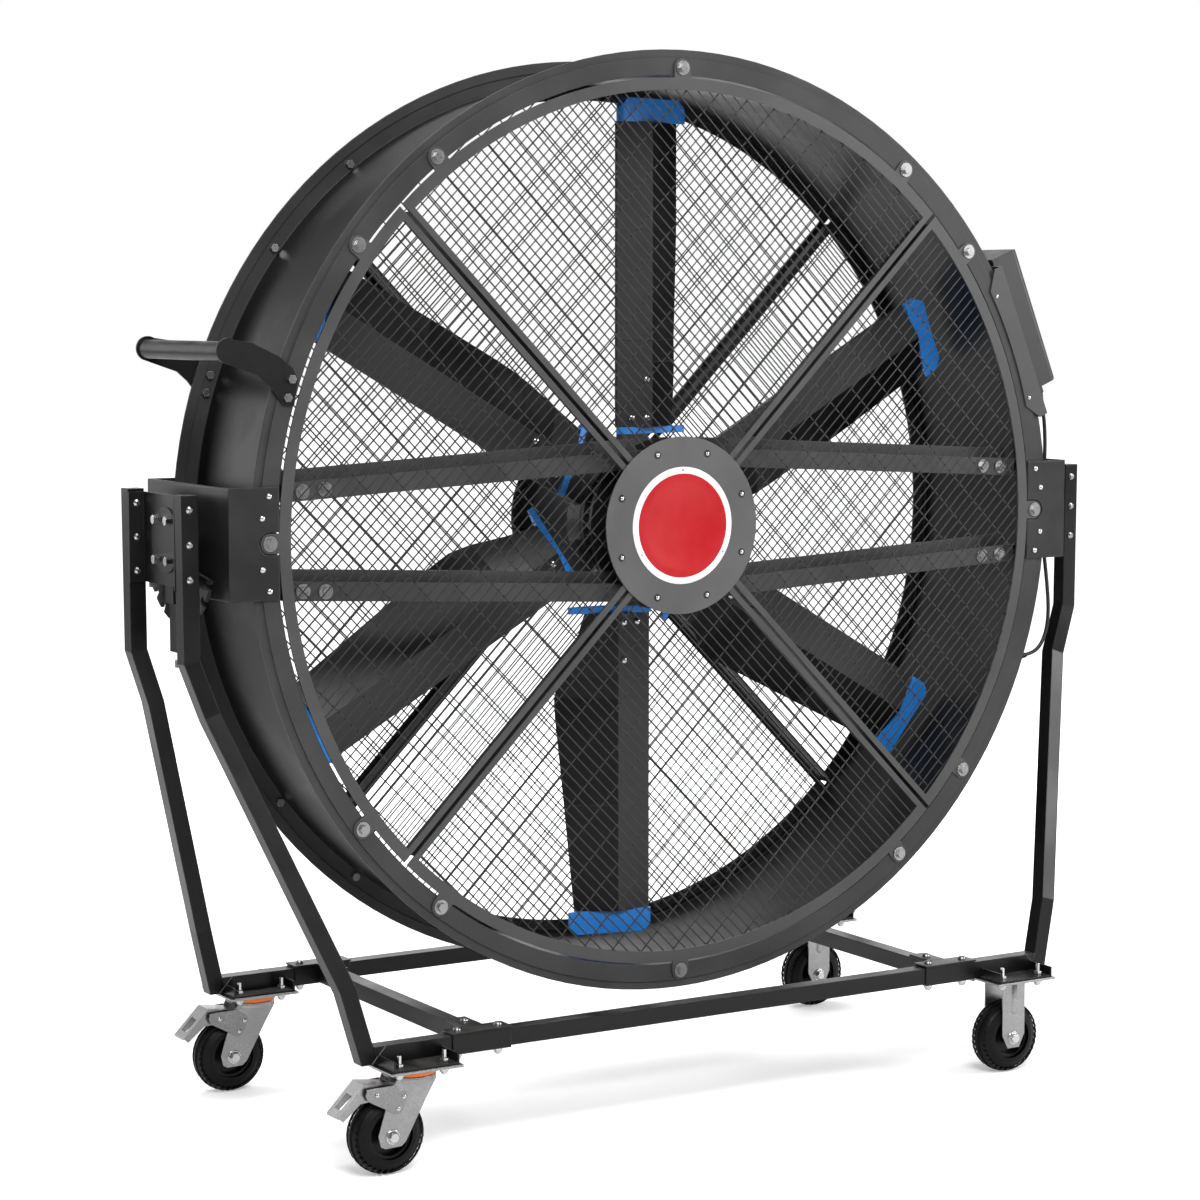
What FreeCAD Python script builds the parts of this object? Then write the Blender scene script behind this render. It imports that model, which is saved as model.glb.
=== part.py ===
import FreeCAD, Part
import Sketcher
import math
import os

# Portable drum fan: a shrouded six-blade rotor that tilts in a wheeled tube stand.
# Millimetres, +Z up, +X to the right, +Y to the back; origin on the floor under the drum's centre.
# Driving sizes; every sub-part below reads them from the sheet.
SIZES = {
    # drum
    "flange_radius": "800", "flange_width": "43", "floor_clear": "195", "drum_depth": "312",
    "drum_sheet": "3", "bolt_inset": "30.5", "joggle_width": "14",
    "axis_height": "=flange_radius + floor_clear", "wall_radius": "=flange_radius - flange_width",
    "flange_bolt_circle": "=flange_radius - bolt_inset", "joggle_radius": "=flange_radius - joggle_width",
    # fasteners
    "washer_radius": "12.5", "washer_height": "2", "head_radius": "7.5", "head_height": "5.5",
    "dome_radius": "6.5", "dome_height": "4", "dome_top": "3.5",
    # clearances
    "running_gap": "0.05", "swivel_gap": "0.3", "fit_gap": "0.1", "overrun": "5",
    # wire guards
    "guard_sheet": "3", "ring_gap": "4", "ring_width": "20", "strip_width": "10.5", "panel_gap": "7",
    "rib_start": "215", "rib_depth": "25", "rib_sheet": "2.5", "inner_radius": "112", "inner_width": "36",
    "ear_radius": "16", "wire_width": "2.6", "wire_depth": "2.4", "dense_pitch": "15.5",
    "sparse_pitch": "48", "wire_inset": "8", "ring_radius": "=wall_radius - ring_gap",
    "wire_reach": "=ring_radius - wire_inset",
    # hub plates
    "hub_radius": "151.5", "hub_sheet": "3",
    # motor arms
    "arm_inset": "16", "arm_depth": "34", "arm_sheet": "4", "arm_face": "31", "arm_back": "49",
    "arm_front": "=drum_depth / 2 - arm_inset",
    "arm_wall_gap": "19", "arm_wall_z": "78", "arm_hub_x": "60", "arm_hub_z": "114",
    "arm_bolt_inset": "34", "arm_bolt_pitch": "40", "foot_length": "130", "foot_sheet": "6",
    "arm_wall_x": "=wall_radius - arm_wall_gap", "arm_bolt_outer": "=arm_wall_x - arm_bolt_inset",
    "arm_bolt_inner": "=arm_bolt_outer - arm_bolt_pitch",
    # motor
    "motor_plate_radius": "148", "motor_plate_sheet": "8", "motor_radius": "125", "motor_length": "66",
    "motor_rim": "9", "shaft_radius": "20", "shaft_grip": "40",
    # rotor
    "rotor_disc_radius": "120", "rotor_disc_width": "44", "blade_arm_width": "64", "blade_arm_sheet": "14",
    "root_radius": "150", "collar_height": "12", "cap_rim": "1.5", "tip_clear": "28", "cap_height": "41",
    "cap_corner": "16", "chord": "152", "blade_depth": "24", "pitch_angle": "12.4", "rotor_angle": "0",
    "blade_bolt_near": "178", "blade_bolt_far": "240", "blade_bolt_spread": "29",
    "blade_tip": "=wall_radius - tip_clear - cap_height",
    # drum yokes and tilt sector
    "yoke_half_height": "89.5", "yoke_sheet": "4", "yoke_gap": "40", "yoke_overlap": "4",
    "yoke_notch": "18", "stub_radius": "20", "stub_length": "30", "boss_radius": "34",
    "sector_stand": "10", "sector_radius": "137", "sector_sheet": "6", "sector_top": "30", "sector_neck": "44",
    "notch_width": "13", "notch_depth": "14", "notch_step_angle": "15", "sector_half_angle": "65",
    "yoke_reach": "=flange_radius + yoke_gap", "yoke_inner": "=wall_radius - yoke_overlap",
    "stub_end": "=yoke_reach + stub_length", "sector_x": "=yoke_reach + sector_stand",
    # stand pivots
    "post_gap": "49", "post_y": "107", "post_side": "28", "post_wall": "2", "post_rise": "78",
    "saddle_sheet": "4", "saddle_half_height": "73", "saddle_gap": "37", "bearing_radius": "46",
    "bearing_gap": "0.4", "pivot_cap_radius": "53", "pivot_cap_sheet": "3", "pivot_bolt_y": "24",
    "pivot_bolt_z": "32", "pivot_bolt_stand": "5", "post_bolt_step": "55",
    "post_x": "=yoke_reach + post_gap", "post_top": "=axis_height + post_rise",
    "saddle_face": "=yoke_reach + saddle_gap", "bearing_face": "=sector_x + sector_sheet + bearing_gap",
    # tilt lock
    "latch_width": "32", "latch_sheet": "4", "latch_rise": "17", "latch_drop": "98", "latch_foot_gap": "20",
    "latch_foot_height": "24", "plunger_radius": "5", "knob_radius": "11", "knob_height": "12",
    "plunger_rest_gap": "2", "plunger_travel": "13",
    "latch_shelf": "=axis_height - latch_drop", "latch_top": "=axis_height - saddle_half_height + latch_rise",
    "latch_foot_top": "=axis_height - sector_radius - latch_foot_gap",
    "latch_foot_bottom": "=latch_foot_top - latch_foot_height",
    # casters
    "wheel_radius": "64", "tyre_width": "40", "tyre_bead": "17", "rim_radius": "38", "rim_lip": "33",
    "rim_web": "5", "wheel_hub": "14", "axle_radius": "6", "axle_nut": "10", "caster_rise": "64",
    "caster_inset": "72", "caster_out": "9", "tray_length": "116", "tray_width": "120", "tray_sheet": "3",
    "tray_lip": "18", "plate_length": "110", "plate_width": "110", "plate_sheet": "4", "stud_x": "40",
    "stud_y": "42", "stud_radius": "4", "stud_height": "20", "nut_height": "6.5", "seal_radius": "38",
    "seal_height": "6", "fork_gap": "47", "fork_sheet": "3", "fork_top": "5", "kingpin_radius": "8",
    "kingpin_head": "14", "kingpin_head_height": "3", "trail": "44", "fork_width": "76", "fork_eye": "17",
    "rigid_width": "44", "pedal_half_width": "21", "pedal_sheet": "3", "pedal_pin": "3", "pedal_back": "26",
    "pedal_drop": "61", "pedal_length": "66", "ear_radius_low": "9", "ear_length": "22",
    "bar_z": "=wheel_radius * 2 + caster_rise", "pedal_pin_x": "=trail + pedal_back",
    "pedal_pin_z": "=bar_z - pedal_drop",
    # legs and base
    "bend_one_in": "2", "bend_one_drop": "186", "bend_two_in": "33", "bend_two_out": "7", "bend_two_drop": "273",
    "bend_three_out": "31", "bend_three_in": "12", "bend_three_rise": "105", "foot_in": "215", "bar_y": "290",
    "bar_side": "28", "bar_wall": "2", "sleeve_side": "33", "sleeve_inset": "147", "sleeve_length": "107",
    "cross_inset": "50", "sleeve_bolt_inset": "16",
    "bend_one_x": "=post_x - bend_one_in", "bend_one_z": "=axis_height - bend_one_drop",
    "bend_two_x": "=post_x - bend_two_in", "bend_two_y": "=post_y + bend_two_out",
    "bend_two_z": "=axis_height - bend_two_drop", "foot_x": "=post_x - foot_in",
    "bend_three_x": "=foot_x + bend_three_out", "bend_three_y": "=bar_y - bend_three_in",
    "bend_three_z": "=bar_z + bend_three_rise", "sleeve_outer": "=foot_x - sleeve_inset",
    "sleeve_inner": "=sleeve_outer - sleeve_length", "cross_x": "=sleeve_inner + cross_inset",
    "caster_x": "=foot_x - caster_inset", "caster_y": "=bar_y + caster_out",
    # handle
    "grip_out": "39", "grip_rise": "302", "grip_radius": "15.5", "handle_sheet": "4", "handle_reach": "110",
    "grip_x": "=flange_radius + grip_out", "grip_z": "=axis_height + grip_rise",
    # control box
    "box_angle": "22.3", "box_gap": "5", "box_offset": "32", "box_length": "258", "box_width": "270",
    "box_height": "48", "lid_height": "14", "box_corner": "12", "bracket_sheet": "3",
    "bracket_top": "149", "bracket_bottom": "140", "bracket_overlap": "28", "bracket_shoulder": "18",
    "dial_radius": "21", "dial_height": "20", "dial_stem": "5", "gland_radius": "9", "gland_length": "14",
    "inlet_radius": "5", "inlet_drop": "70", "cable_diameter": "7", "cable_inset": "36",
    "cable_y": "=drum_depth / 2 - cable_inset", "cable_slack": "64",
    "box_seat": "=flange_radius + box_gap", "bracket_arc": "=flange_radius - bracket_overlap",
}

DOC = FreeCAD.newDocument("PortableFan")
SHEET = DOC.addObject("Spreadsheet::Sheet", "Sizes")
for row, (alias, text) in enumerate(SIZES.items(), start=1):
    SHEET.set("A%d" % row, alias)
    SHEET.set("B%d" % row, text)
    SHEET.setAlias("B%d" % row, alias)
DOC.recompute()

V = FreeCAD.Vector
AXIS_X = V(1, 0, 0)
AXIS_Y = V(0, 1, 0)
AXIS_Z = V(0, 0, 1)
UPRIGHT = FreeCAD.Rotation()
QUARTER = 90
HALF_TURN = 180
FULL = 360
BLADES = 6
NODES = []


class Size:
    """A length or angle that knows its number and the sheet expression that gives it."""

    def __init__(self, value, text):
        self.value = float(value)
        self.text = text

    def join(self, other, sign, value):
        right = other.text if isinstance(other, Size) else repr(float(other))
        return Size(value, "(%s %s %s)" % (self.text, sign, right))

    def __add__(self, other):
        return self.join(other, "+", self.value + float(other))

    def __sub__(self, other):
        return self.join(other, "-", self.value - float(other))

    def __mul__(self, other):
        return self.join(other, "*", self.value * float(other))

    def __truediv__(self, other):
        return self.join(other, "/", self.value / float(other))

    def __neg__(self):
        return Size(-self.value, "(-1 * %s)" % self.text)

    def __float__(self):
        return self.value


class Sheet:
    """Reads the sizes back from the sheet by alias."""

    def __getattr__(self, alias):
        return Size(SHEET.get(alias), "Sizes." + alias)


S = Sheet()
ZERO = Size(0, "0")
HALF_DEPTH = S.drum_depth / 2
DRUM_CENTRE = V(0, 0, float(S.axis_height))
AT_DRUM = FreeCAD.Placement(DRUM_CENTRE, UPRIGHT)

# The front frame turns local XY to the drum's front face with local +Z towards the viewer.
FRONT = FreeCAD.Rotation(AXIS_X, QUARTER)
BACK = FreeCAD.Rotation(AXIS_Z, HALF_TURN).multiply(FRONT)
FACES = (("front", FRONT, -1), ("rear", BACK, 1))
SIDES = (("left", -1), ("right", 1))
TURNS = {"x": FreeCAD.Rotation(AXIS_Y, QUARTER), "y": FreeCAD.Rotation(AXIS_X, -QUARTER), "z": UPRIGHT}


def half(length):
    return length / 2


def bind(thing, prop, length):
    thing.setExpression(prop, length.text)


def seat(thing, place):
    for letter, length in zip("xyz", place):
        bind(thing, "Placement.Base." + letter, length)


def node(thing, label):
    thing.Label = label
    NODES.append((label, thing))
    return thing


def rod(name, radius, length, start, axis):
    thing = DOC.addObject("Part::Cylinder", name)
    bind(thing, "Radius", radius)
    bind(thing, "Height", length)
    thing.Placement = FreeCAD.Placement(V(), TURNS[axis])
    seat(thing, start)
    return thing


def group(label, pieces):
    """One sub-part made of several separate pieces."""
    thing = DOC.addObject("Part::Compound", label)
    thing.Links = pieces
    return node(thing, label)


def solid(label, shape, placement=None):
    """A sub-part whose shape comes from wires, arcs or repeated pieces."""
    thing = DOC.addObject("Part::Feature", label)
    thing.Shape = shape
    if placement is not None:
        thing.Placement = placement.multiply(shape.Placement)
    return node(thing, label)


def profile_body(label, role, outline, circle=None):
    """A body with one constrained sketch: a closed outline of straight sides, or a circle."""
    body = DOC.addObject("PartDesign::Body", label)
    sketch = body.newObject("Sketcher::SketchObject", label + "_sketch")
    plane = [p for p in body.Origin.OriginFeatures if p.Role == role][0]
    sketch.AttachmentSupport = [(plane, "")]
    sketch.MapMode = "FlatFace"
    points = [V(float(x), float(y), 0) for x, y in outline]
    count = len(points)
    for k, point in enumerate(points):
        sketch.addGeometry(Part.LineSegment(point, points[(k + 1) % count]))
    for k in range(count):
        sketch.addConstraint(Sketcher.Constraint("Coincident", k, 2, (k + 1) % count, 1))
    for k, (x, y) in enumerate(outline):
        for kind, length in (("DistanceX", x), ("DistanceY", y)):
            at = sketch.addConstraint(Sketcher.Constraint(kind, k, 1, float(length)))
            bind(sketch, "Constraints[%d]" % at, length)
    if circle is not None:
        ring = sketch.addGeometry(Part.Circle(V(), AXIS_Z, float(circle)))
        sketch.addConstraint(Sketcher.Constraint("Coincident", ring, 3, -1, 1))
        at = sketch.addConstraint(Sketcher.Constraint("Radius", ring, float(circle)))
        bind(sketch, "Constraints[%d]" % at, circle)
    return body, sketch


def padded(label, role, outline, length, circle=None):
    body, sketch = profile_body(label, role, outline, circle)
    feature = body.newObject("PartDesign::Pad", label + "_pad")
    feature.Profile = sketch
    bind(feature, "Length", length)
    return body


def turned(label, outline, role="XY_Plane"):
    """A body turned about the sketch's upright axis from an outline of (radius, along)."""
    body, sketch = profile_body(label, role, outline)
    feature = body.newObject("PartDesign::Revolution", label + "_turn")
    feature.Profile = sketch
    feature.ReferenceAxis = (sketch, ["V_Axis"])
    feature.Angle = FULL
    return body


def face_of(items):
    """A flat face from corners and (through, end) arcs; the last item meets the first corner."""
    edges = []
    last = items[0]
    for item in items[1:]:
        end = item[1] if isinstance(item, tuple) else item
        curve = Part.Arc(last, item[0], end) if isinstance(item, tuple) else Part.LineSegment(last, end)
        edges.append(curve.toShape())
        last = end
    if last.distanceToPoint(items[0]) > float(S.running_gap):
        edges.append(Part.LineSegment(last, items[0]).toShape())
    return Part.Face(Part.Wire(edges))


def slab(low, high):
    """A box between two corners given as sizes."""
    a, b = V(*[float(x) for x in low]), V(*[float(x) for x in high])
    return Part.makeBox(b.x - a.x, b.y - a.y, b.z - a.z, a)


def tube(radius, height, base, axis):
    return Part.makeCylinder(float(radius), float(height), base, axis)


HEX_SIDES = 6
DOME_SIDES = 8
WASHER_SIDES = 16


def polygon(radius, level, sides):
    """Corners of a regular polygon round the local Z axis at a level."""
    first = V(float(radius), 0, float(level))
    return [FreeCAD.Rotation(AXIS_Z, FULL / sides * k).multVec(first) for k in range(sides)]


def prism(radius, height, sides, base):
    """An upright prism, for repeated fasteners that need few faces."""
    shape = face_of(polygon(radius, 0, sides)).extrude(V(0, 0, float(height)))
    shape.translate(base)
    return shape


def hexagon(radius, height, base):
    return prism(radius, height, HEX_SIDES, base)


def moved(shape, place):
    copy = shape.copy()
    copy.Placement = place.multiply(copy.Placement)
    return copy


def mirrored(shape, way):
    """The right-hand shape as it is, or its mirror image for the left-hand side."""
    return shape if way > 0 else shape.mirror(V(), AXIS_X)


def washer_bolt(spot, rotation):
    """Hexagon head on a wide washer, standing on a face."""
    ring = prism(S.washer_radius, S.washer_height, WASHER_SIDES, V())
    head = hexagon(S.head_radius, S.head_height, V(0, 0, float(S.washer_height)))
    return moved(ring.fuse(head), FreeCAD.Placement(spot, rotation))


def dome_bolt(spot, rotation):
    """Low button head that narrows towards its top."""
    rings = [polygon(S.dome_radius, 0, DOME_SIDES), polygon(S.dome_top, S.dome_height, DOME_SIDES)]
    wires = [Part.makePolygon(ring + ring[:1]) for ring in rings]
    return moved(Part.makeLoft(wires, True, True), FreeCAD.Placement(spot, rotation))


def drum():
    """Rolled shell with a flange turned out at both ends, each with a rim set back by a joggle."""
    inner, outer = S.wall_radius, S.wall_radius + S.drum_sheet
    lip, back = HALF_DEPTH, HALF_DEPTH - S.drum_sheet
    low, rim = back - S.drum_sheet, S.flange_radius
    step, under = S.joggle_radius, S.joggle_radius - S.drum_sheet
    front = [(inner, -lip), (step, -lip), (step, -back), (rim, -back), (rim, -low), (under, -low), (under, -back),
             (outer, -back)]
    outline = front + [(radius, -along) for radius, along in reversed(front)]
    body = turned("drum_shell", outline)
    bind(body, "Placement.Base.z", S.axis_height)
    node(body, "drum_shell")


PAIR_HALF_ANGLE = 7.5


def flange_points():
    """Bolt places round one flange: the quarter points and a pair at each diagonal."""
    angles = []
    for k in range(4):
        diagonal = QUARTER * (k + 0.5)
        angles += [QUARTER * k, diagonal - PAIR_HALF_ANGLE, diagonal + PAIR_HALF_ANGLE]
    arm = V(float(S.flange_bolt_circle), 0, 0)
    return [FreeCAD.Rotation(AXIS_Z, a).multVec(arm) for a in angles]


def wire(start, end, across, level):
    """A straight guard wire of three-sided section with its flat side up at the given level."""
    w, d = float(S.wire_width) / 2, float(S.wire_depth)
    up = V(0, 0, level)
    ring = [start + across * w + up, start - across * w + up, start + up - V(0, 0, d)]
    return Part.Face(Part.makePolygon(ring + ring[:1])).extrude(end - start)


def guard_wires(edge):
    """Close wires along local Y under the strips, wide-spaced wires along local X under those."""
    reach = float(S.wire_reach)
    inner = float(S.inner_radius + half(S.inner_width))
    wires = []
    for pitch, level, flip in ((S.dense_pitch, 0, False), (S.sparse_pitch, -float(S.wire_depth), True)):
        at = edge + float(half(pitch))
        while at < reach - float(pitch):
            low = max(edge, math.sqrt(max(inner ** 2 - at ** 2, 0)))
            high = math.sqrt(reach ** 2 - at ** 2)
            start, end, across = V(at, low, 0), V(at, high, 0), AXIS_X
            if flip:
                start, end, across = V(low, at, 0), V(high, at, 0), AXIS_Y
            if high - low > float(half(pitch)):
                wires.append(wire(start, end, across, level))
            at += float(pitch)
    return wires


def quarter_ring(edge, outer, inner):
    """A quarter ring between two straight edges that lie edge away from the axes."""
    lean = math.sqrt(0.5)
    far, near = math.sqrt(outer ** 2 - edge ** 2), math.sqrt(inner ** 2 - edge ** 2)
    return face_of([V(near, edge, 0), V(far, edge, 0), (V(outer * lean, outer * lean, 0), V(edge, far, 0)),
                    V(edge, near, 0), (V(inner * lean, inner * lean, 0), V(near, edge, 0))])


def guard_panel():
    """One welded quarter guard in local XY, its straight edges along the two axes."""
    sheet = V(0, 0, float(S.guard_sheet))
    gap = float(half(S.panel_gap))
    edge = gap + float(S.strip_width)
    ring_in, inner_out = float(S.ring_radius - S.ring_width), float(S.inner_radius + S.inner_width)
    frame = quarter_ring(gap, float(S.ring_radius), float(S.inner_radius)).extrude(sheet)
    frame = frame.cut(quarter_ring(edge, ring_in, inner_out).extrude(sheet))
    start, thick, deep = float(S.rib_start), float(S.rib_sheet), float(S.rib_depth)
    ribs = [Part.makeBox(ring_in - start, thick, deep, V(start, gap, -deep)),
            Part.makeBox(thick, ring_in - start, deep, V(gap, start, -deep))]
    ears = []
    width = float(S.ear_radius)
    neck = float(S.flange_bolt_circle - S.ring_radius + half(S.ring_width))
    for point in flange_points():
        spot = FreeCAD.Rotation(AXIS_Z, QUARTER / 2).multVec(point)
        if min(spot.x, spot.y) > 0:
            arm = Part.makeBox(neck, width * 2, sheet.z, V(-neck, -width, 0))
            arm = moved(arm, FreeCAD.Placement(spot, FreeCAD.Rotation(AXIS_X, V(spot))))
            ears += [arm, tube(width, S.guard_sheet, spot, AXIS_Z)]
    # The ribs stand along the panel's outer edges; the wires end against them under the strips.
    frame = frame.multiFuse(ribs + ears).removeSplitter()
    return Part.makeCompound(frame.Solids + guard_wires(gap + thick))


def guards():
    panel = guard_panel()
    for face, rotation, sign in FACES:
        for k, name in enumerate(("top", "left", "bottom", "right")):
            spin = FreeCAD.Rotation(AXIS_Z, QUARTER * (k + 0.5))
            place = FreeCAD.Placement(DRUM_CENTRE + V(0, sign * float(HALF_DEPTH), 0), rotation.multiply(spin))
            solid("%s_%s_guard" % (face, name), panel.copy(), place)


def hub_plates():
    """Round plates that clamp the inner corners of the four guards on each face."""
    plates = []
    for face, rotation, sign in FACES:
        body = padded(face + "_hub_plate", "XY_Plane", [], S.hub_sheet, S.hub_radius)
        lift = float(HALF_DEPTH + S.guard_sheet)
        body.Placement = FreeCAD.Placement(DRUM_CENTRE + V(0, sign * lift, 0), rotation)
        plates.append(body)
    group("hub_plates", plates)


def drum_bolts():
    """Bolts of the guards, motor arms and handle plates, with nuts inside the flanges."""
    bolts = []
    head = hexagon(S.head_radius, S.head_height, V())
    for _, rotation, sign in FACES:
        out = V(0, sign * float(HALF_DEPTH + S.guard_sheet), 0)
        inside = V(0, sign * float(HALF_DEPTH - S.drum_sheet), 0)
        inward = BACK if sign < 0 else FRONT
        spots = [rotation.multVec(p) for p in flange_points()]
        bolts += [washer_bolt(out + spot, rotation) for spot in spots]
        bolts += [moved(head, FreeCAD.Placement(inside + spot, inward)) for spot in spots]
        lift = sign * float(HALF_DEPTH + S.handle_sheet)
        for p in handle_bolts():
            spot = V(p.x, 0, p.y - DRUM_CENTRE.z)
            bolts.append(moved(head, FreeCAD.Placement(spot + V(0, lift, 0), rotation)))
            bolts.append(moved(head, FreeCAD.Placement(spot + inside, inward)))
    for level in (-1, 1):
        for _, way in SIDES:
            for x in (S.arm_bolt_inner, S.arm_bolt_outer):
                spot = V(way * float(x), -float(S.arm_front), level * arm_height(x))
                bolts.append(washer_bolt(spot, FRONT))
    solid("drum_bolts", Part.makeCompound(bolts), AT_DRUM)


def arm_slope():
    return (S.arm_hub_z - S.arm_wall_z) / (S.arm_wall_x - S.arm_hub_x)


def arm_lean():
    return math.degrees(math.atan(float(arm_slope())))


def arm_height(x):
    """Distance of an arm's middle line from the axis level at a distance from the drum's middle."""
    return float(S.arm_hub_z) - (float(x) - float(S.arm_hub_x)) * float(arm_slope())


def motor_arms():
    """Four channels from the drum wall to the motor plate, spreading apart towards the hub."""
    front, back, low = -S.arm_front, S.arm_depth - S.arm_front, -half(S.arm_face)
    sheet = S.arm_sheet
    high = low + S.arm_back
    outline = [(front, low), (back, low), (back, high), (back - sheet, high), (back - sheet, low + sheet),
               (front + sheet, low + sheet), (front + sheet, -low), (front, -low)]
    pieces = []
    for level_name, level in (("lower", -1), ("upper", 1)):
        for name, way in SIDES:
            arm = padded("%s_%s_arm" % (level_name, name), "YZ_Plane", outline, S.arm_wall_x - S.arm_hub_x)
            start = S.arm_hub_x if way > 0 else -S.arm_wall_x
            level_at = S.arm_hub_z if way > 0 else S.arm_wall_z
            arm.Placement = FreeCAD.Placement(V(), FreeCAD.Rotation(AXIS_Y, level * way * arm_lean()))
            seat(arm, (start, ZERO, S.axis_height + level_at * level))
            pieces.append(arm)
    group("motor_arms", pieces)


def arm_feet():
    """Plates welded to the drum wall inside the arm ends."""
    inside = tube(S.wall_radius, S.drum_depth, V(0, -float(HALF_DEPTH), 0), AXIS_Y)
    y = -S.arm_front + S.arm_sheet
    tall = half(S.arm_face) - S.arm_sheet
    middle = S.arm_wall_x - S.overrun
    feet = []
    for level in (-1, 1):
        for _, way in SIDES:
            plate = slab((-half(S.foot_length), y, -tall), (half(S.foot_length), y + S.foot_sheet, tall))
            spot = V(way * float(middle), 0, level * arm_height(middle))
            turn = FreeCAD.Rotation(AXIS_Y, level * way * arm_lean())
            feet.append(moved(plate, FreeCAD.Placement(spot, turn)).common(inside))
    solid("arm_wall_feet", Part.makeCompound(feet), AT_DRUM)


def motor():
    """Motor on a round plate behind the arms; its shaft carries the rotor."""
    plate = S.arm_depth - S.arm_front
    shell = plate + S.motor_plate_sheet
    rear = shell + S.motor_length
    bore = S.shaft_radius + S.running_gap
    pocket = rear - S.shaft_grip - S.overrun
    node(rod("motor_plate", S.motor_plate_radius, S.motor_plate_sheet, (ZERO, plate, S.axis_height), "y"),
         "motor_plate")
    rim, waist = S.motor_radius, S.motor_radius - S.motor_rim
    outline = [(ZERO, shell), (rim, shell), (rim, shell + S.motor_rim), (waist, shell + S.motor_rim),
               (waist, rear - S.motor_rim), (rim, rear - S.motor_rim), (rim, rear), (bore, rear),
               (bore, pocket), (ZERO, pocket)]
    body = turned("motor_housing", outline)
    bind(body, "Placement.Base.z", S.axis_height)
    node(body, "motor_housing")
    start = rear - S.shaft_grip
    node(rod("rotor_shaft", S.shaft_radius, -half(S.rotor_disc_width) - start, (ZERO, start, S.axis_height), "y"),
         "rotor_shaft")


# The spar that carries a blade lies ahead of its mid-chord by this share of the chord.
SPAR_SHARE = 0.28
# Aerofoil corners as shares of chord and depth: nose, upper crown, tail, lower hollow.
NOSE_SHARES = ((-0.46, -0.33), (-0.5, 0.0), (-0.45, 0.36))
CROWN_SHARE = (-0.08, 0.58)
TAIL_SHARES = ((0.5, -0.18), (0.5, -0.3))
HOLLOW_SHARE = (0.02, -0.24)
# Depth of the blade's front skin below the chord line where the bolt heads sit.
BOLT_SKIN_SHARE = 0.26
# Middle of the blade bolts as a share of the chord behind the spar.
BOLT_LINE_SHARE = 0.2


def aerofoil(rim, level):
    """The blade section in local XY at a level, grown all round by rim."""
    chord, depth = float(S.chord) + 2 * rim, float(S.blade_depth) + 2 * rim
    shift = float(S.chord) * SPAR_SHARE

    def at(share):
        return V(share[0] * chord + shift, share[1] * depth, float(level))

    low, tip, high = [at(s) for s in NOSE_SHARES]
    tail, under = [at(s) for s in TAIL_SHARES]
    return face_of([low, (tip, high), (at(CROWN_SHARE), tail), under, (at(HOLLOW_SHARE), low)])


def blade_place(k):
    turn = FreeCAD.Rotation(AXIS_Y, -float(S.rotor_angle) - FULL * k / BLADES)
    return FreeCAD.Placement(DRUM_CENTRE, turn.multiply(FreeCAD.Rotation(AXIS_Z, float(S.pitch_angle))))


def tip_cap():
    """End cap as deep as the blade with its two outer corners cut off."""
    rim, low, top = float(S.cap_rim), float(S.blade_tip), float(S.blade_tip + S.cap_height)
    cap = aerofoil(rim, S.blade_tip).extrude(V(0, 0, float(S.cap_height)))
    corner, deep, shift = float(S.cap_corner), float(S.chord), float(S.chord) * SPAR_SHARE
    right, left = shift + deep / 2 + rim, shift - deep / 2 - rim
    outline = [V(left, -deep, low), V(right, -deep, low), V(right, -deep, top - corner), V(right - corner, -deep, top),
               V(left + corner, -deep, top), V(left, -deep, top - corner)]
    return cap.common(face_of(outline).extrude(V(0, deep * 2, 0)))


def rotor():
    """Six pitched blades on flat arms from the rotor disc, with coloured end pieces."""
    root = S.root_radius + S.collar_height
    blade = aerofoil(0, root).extrude(V(0, 0, float(S.blade_tip - root)))
    collar = aerofoil(float(S.cap_rim), S.root_radius).extrude(V(0, 0, float(S.collar_height)))
    cap = tip_cap()
    spread = float(half(S.blade_bolt_spread))
    near, far = float(S.blade_bolt_near), float(S.blade_bolt_far)
    skin = -float(S.blade_depth) * BOLT_SKIN_SHARE
    heads = []
    middle = float(S.chord) * BOLT_LINE_SHARE
    for x, along in ((-spread, near), (spread, near), (-spread, far)):
        spot = V(middle + x, skin, along)
        head = hexagon(S.head_radius, S.head_height, V())
        heads.append(moved(head, FreeCAD.Placement(spot, FRONT)))
    heads = Part.makeCompound(heads).cut(blade)
    a, b = half(S.blade_arm_width), half(S.blade_arm_sheet)
    arm = slab((-a, -b, ZERO), (a, b, S.root_radius))
    places = [blade_place(k) for k in range(BLADES)]
    for label, piece in (("fan_blades", blade), ("blade_tip_caps", cap), ("blade_root_collars", collar),
                         ("blade_bolts", heads)):
        solid(label, Part.makeCompound([moved(piece, p) for p in places]))
    disc = tube(S.rotor_disc_radius, S.rotor_disc_width, V(0, -float(half(S.rotor_disc_width)), 0), AXIS_Y)
    disc = moved(disc, AT_DRUM)
    solid("rotor_hub", disc.multiFuse([moved(arm, p) for p in places]).removeSplitter())


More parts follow.
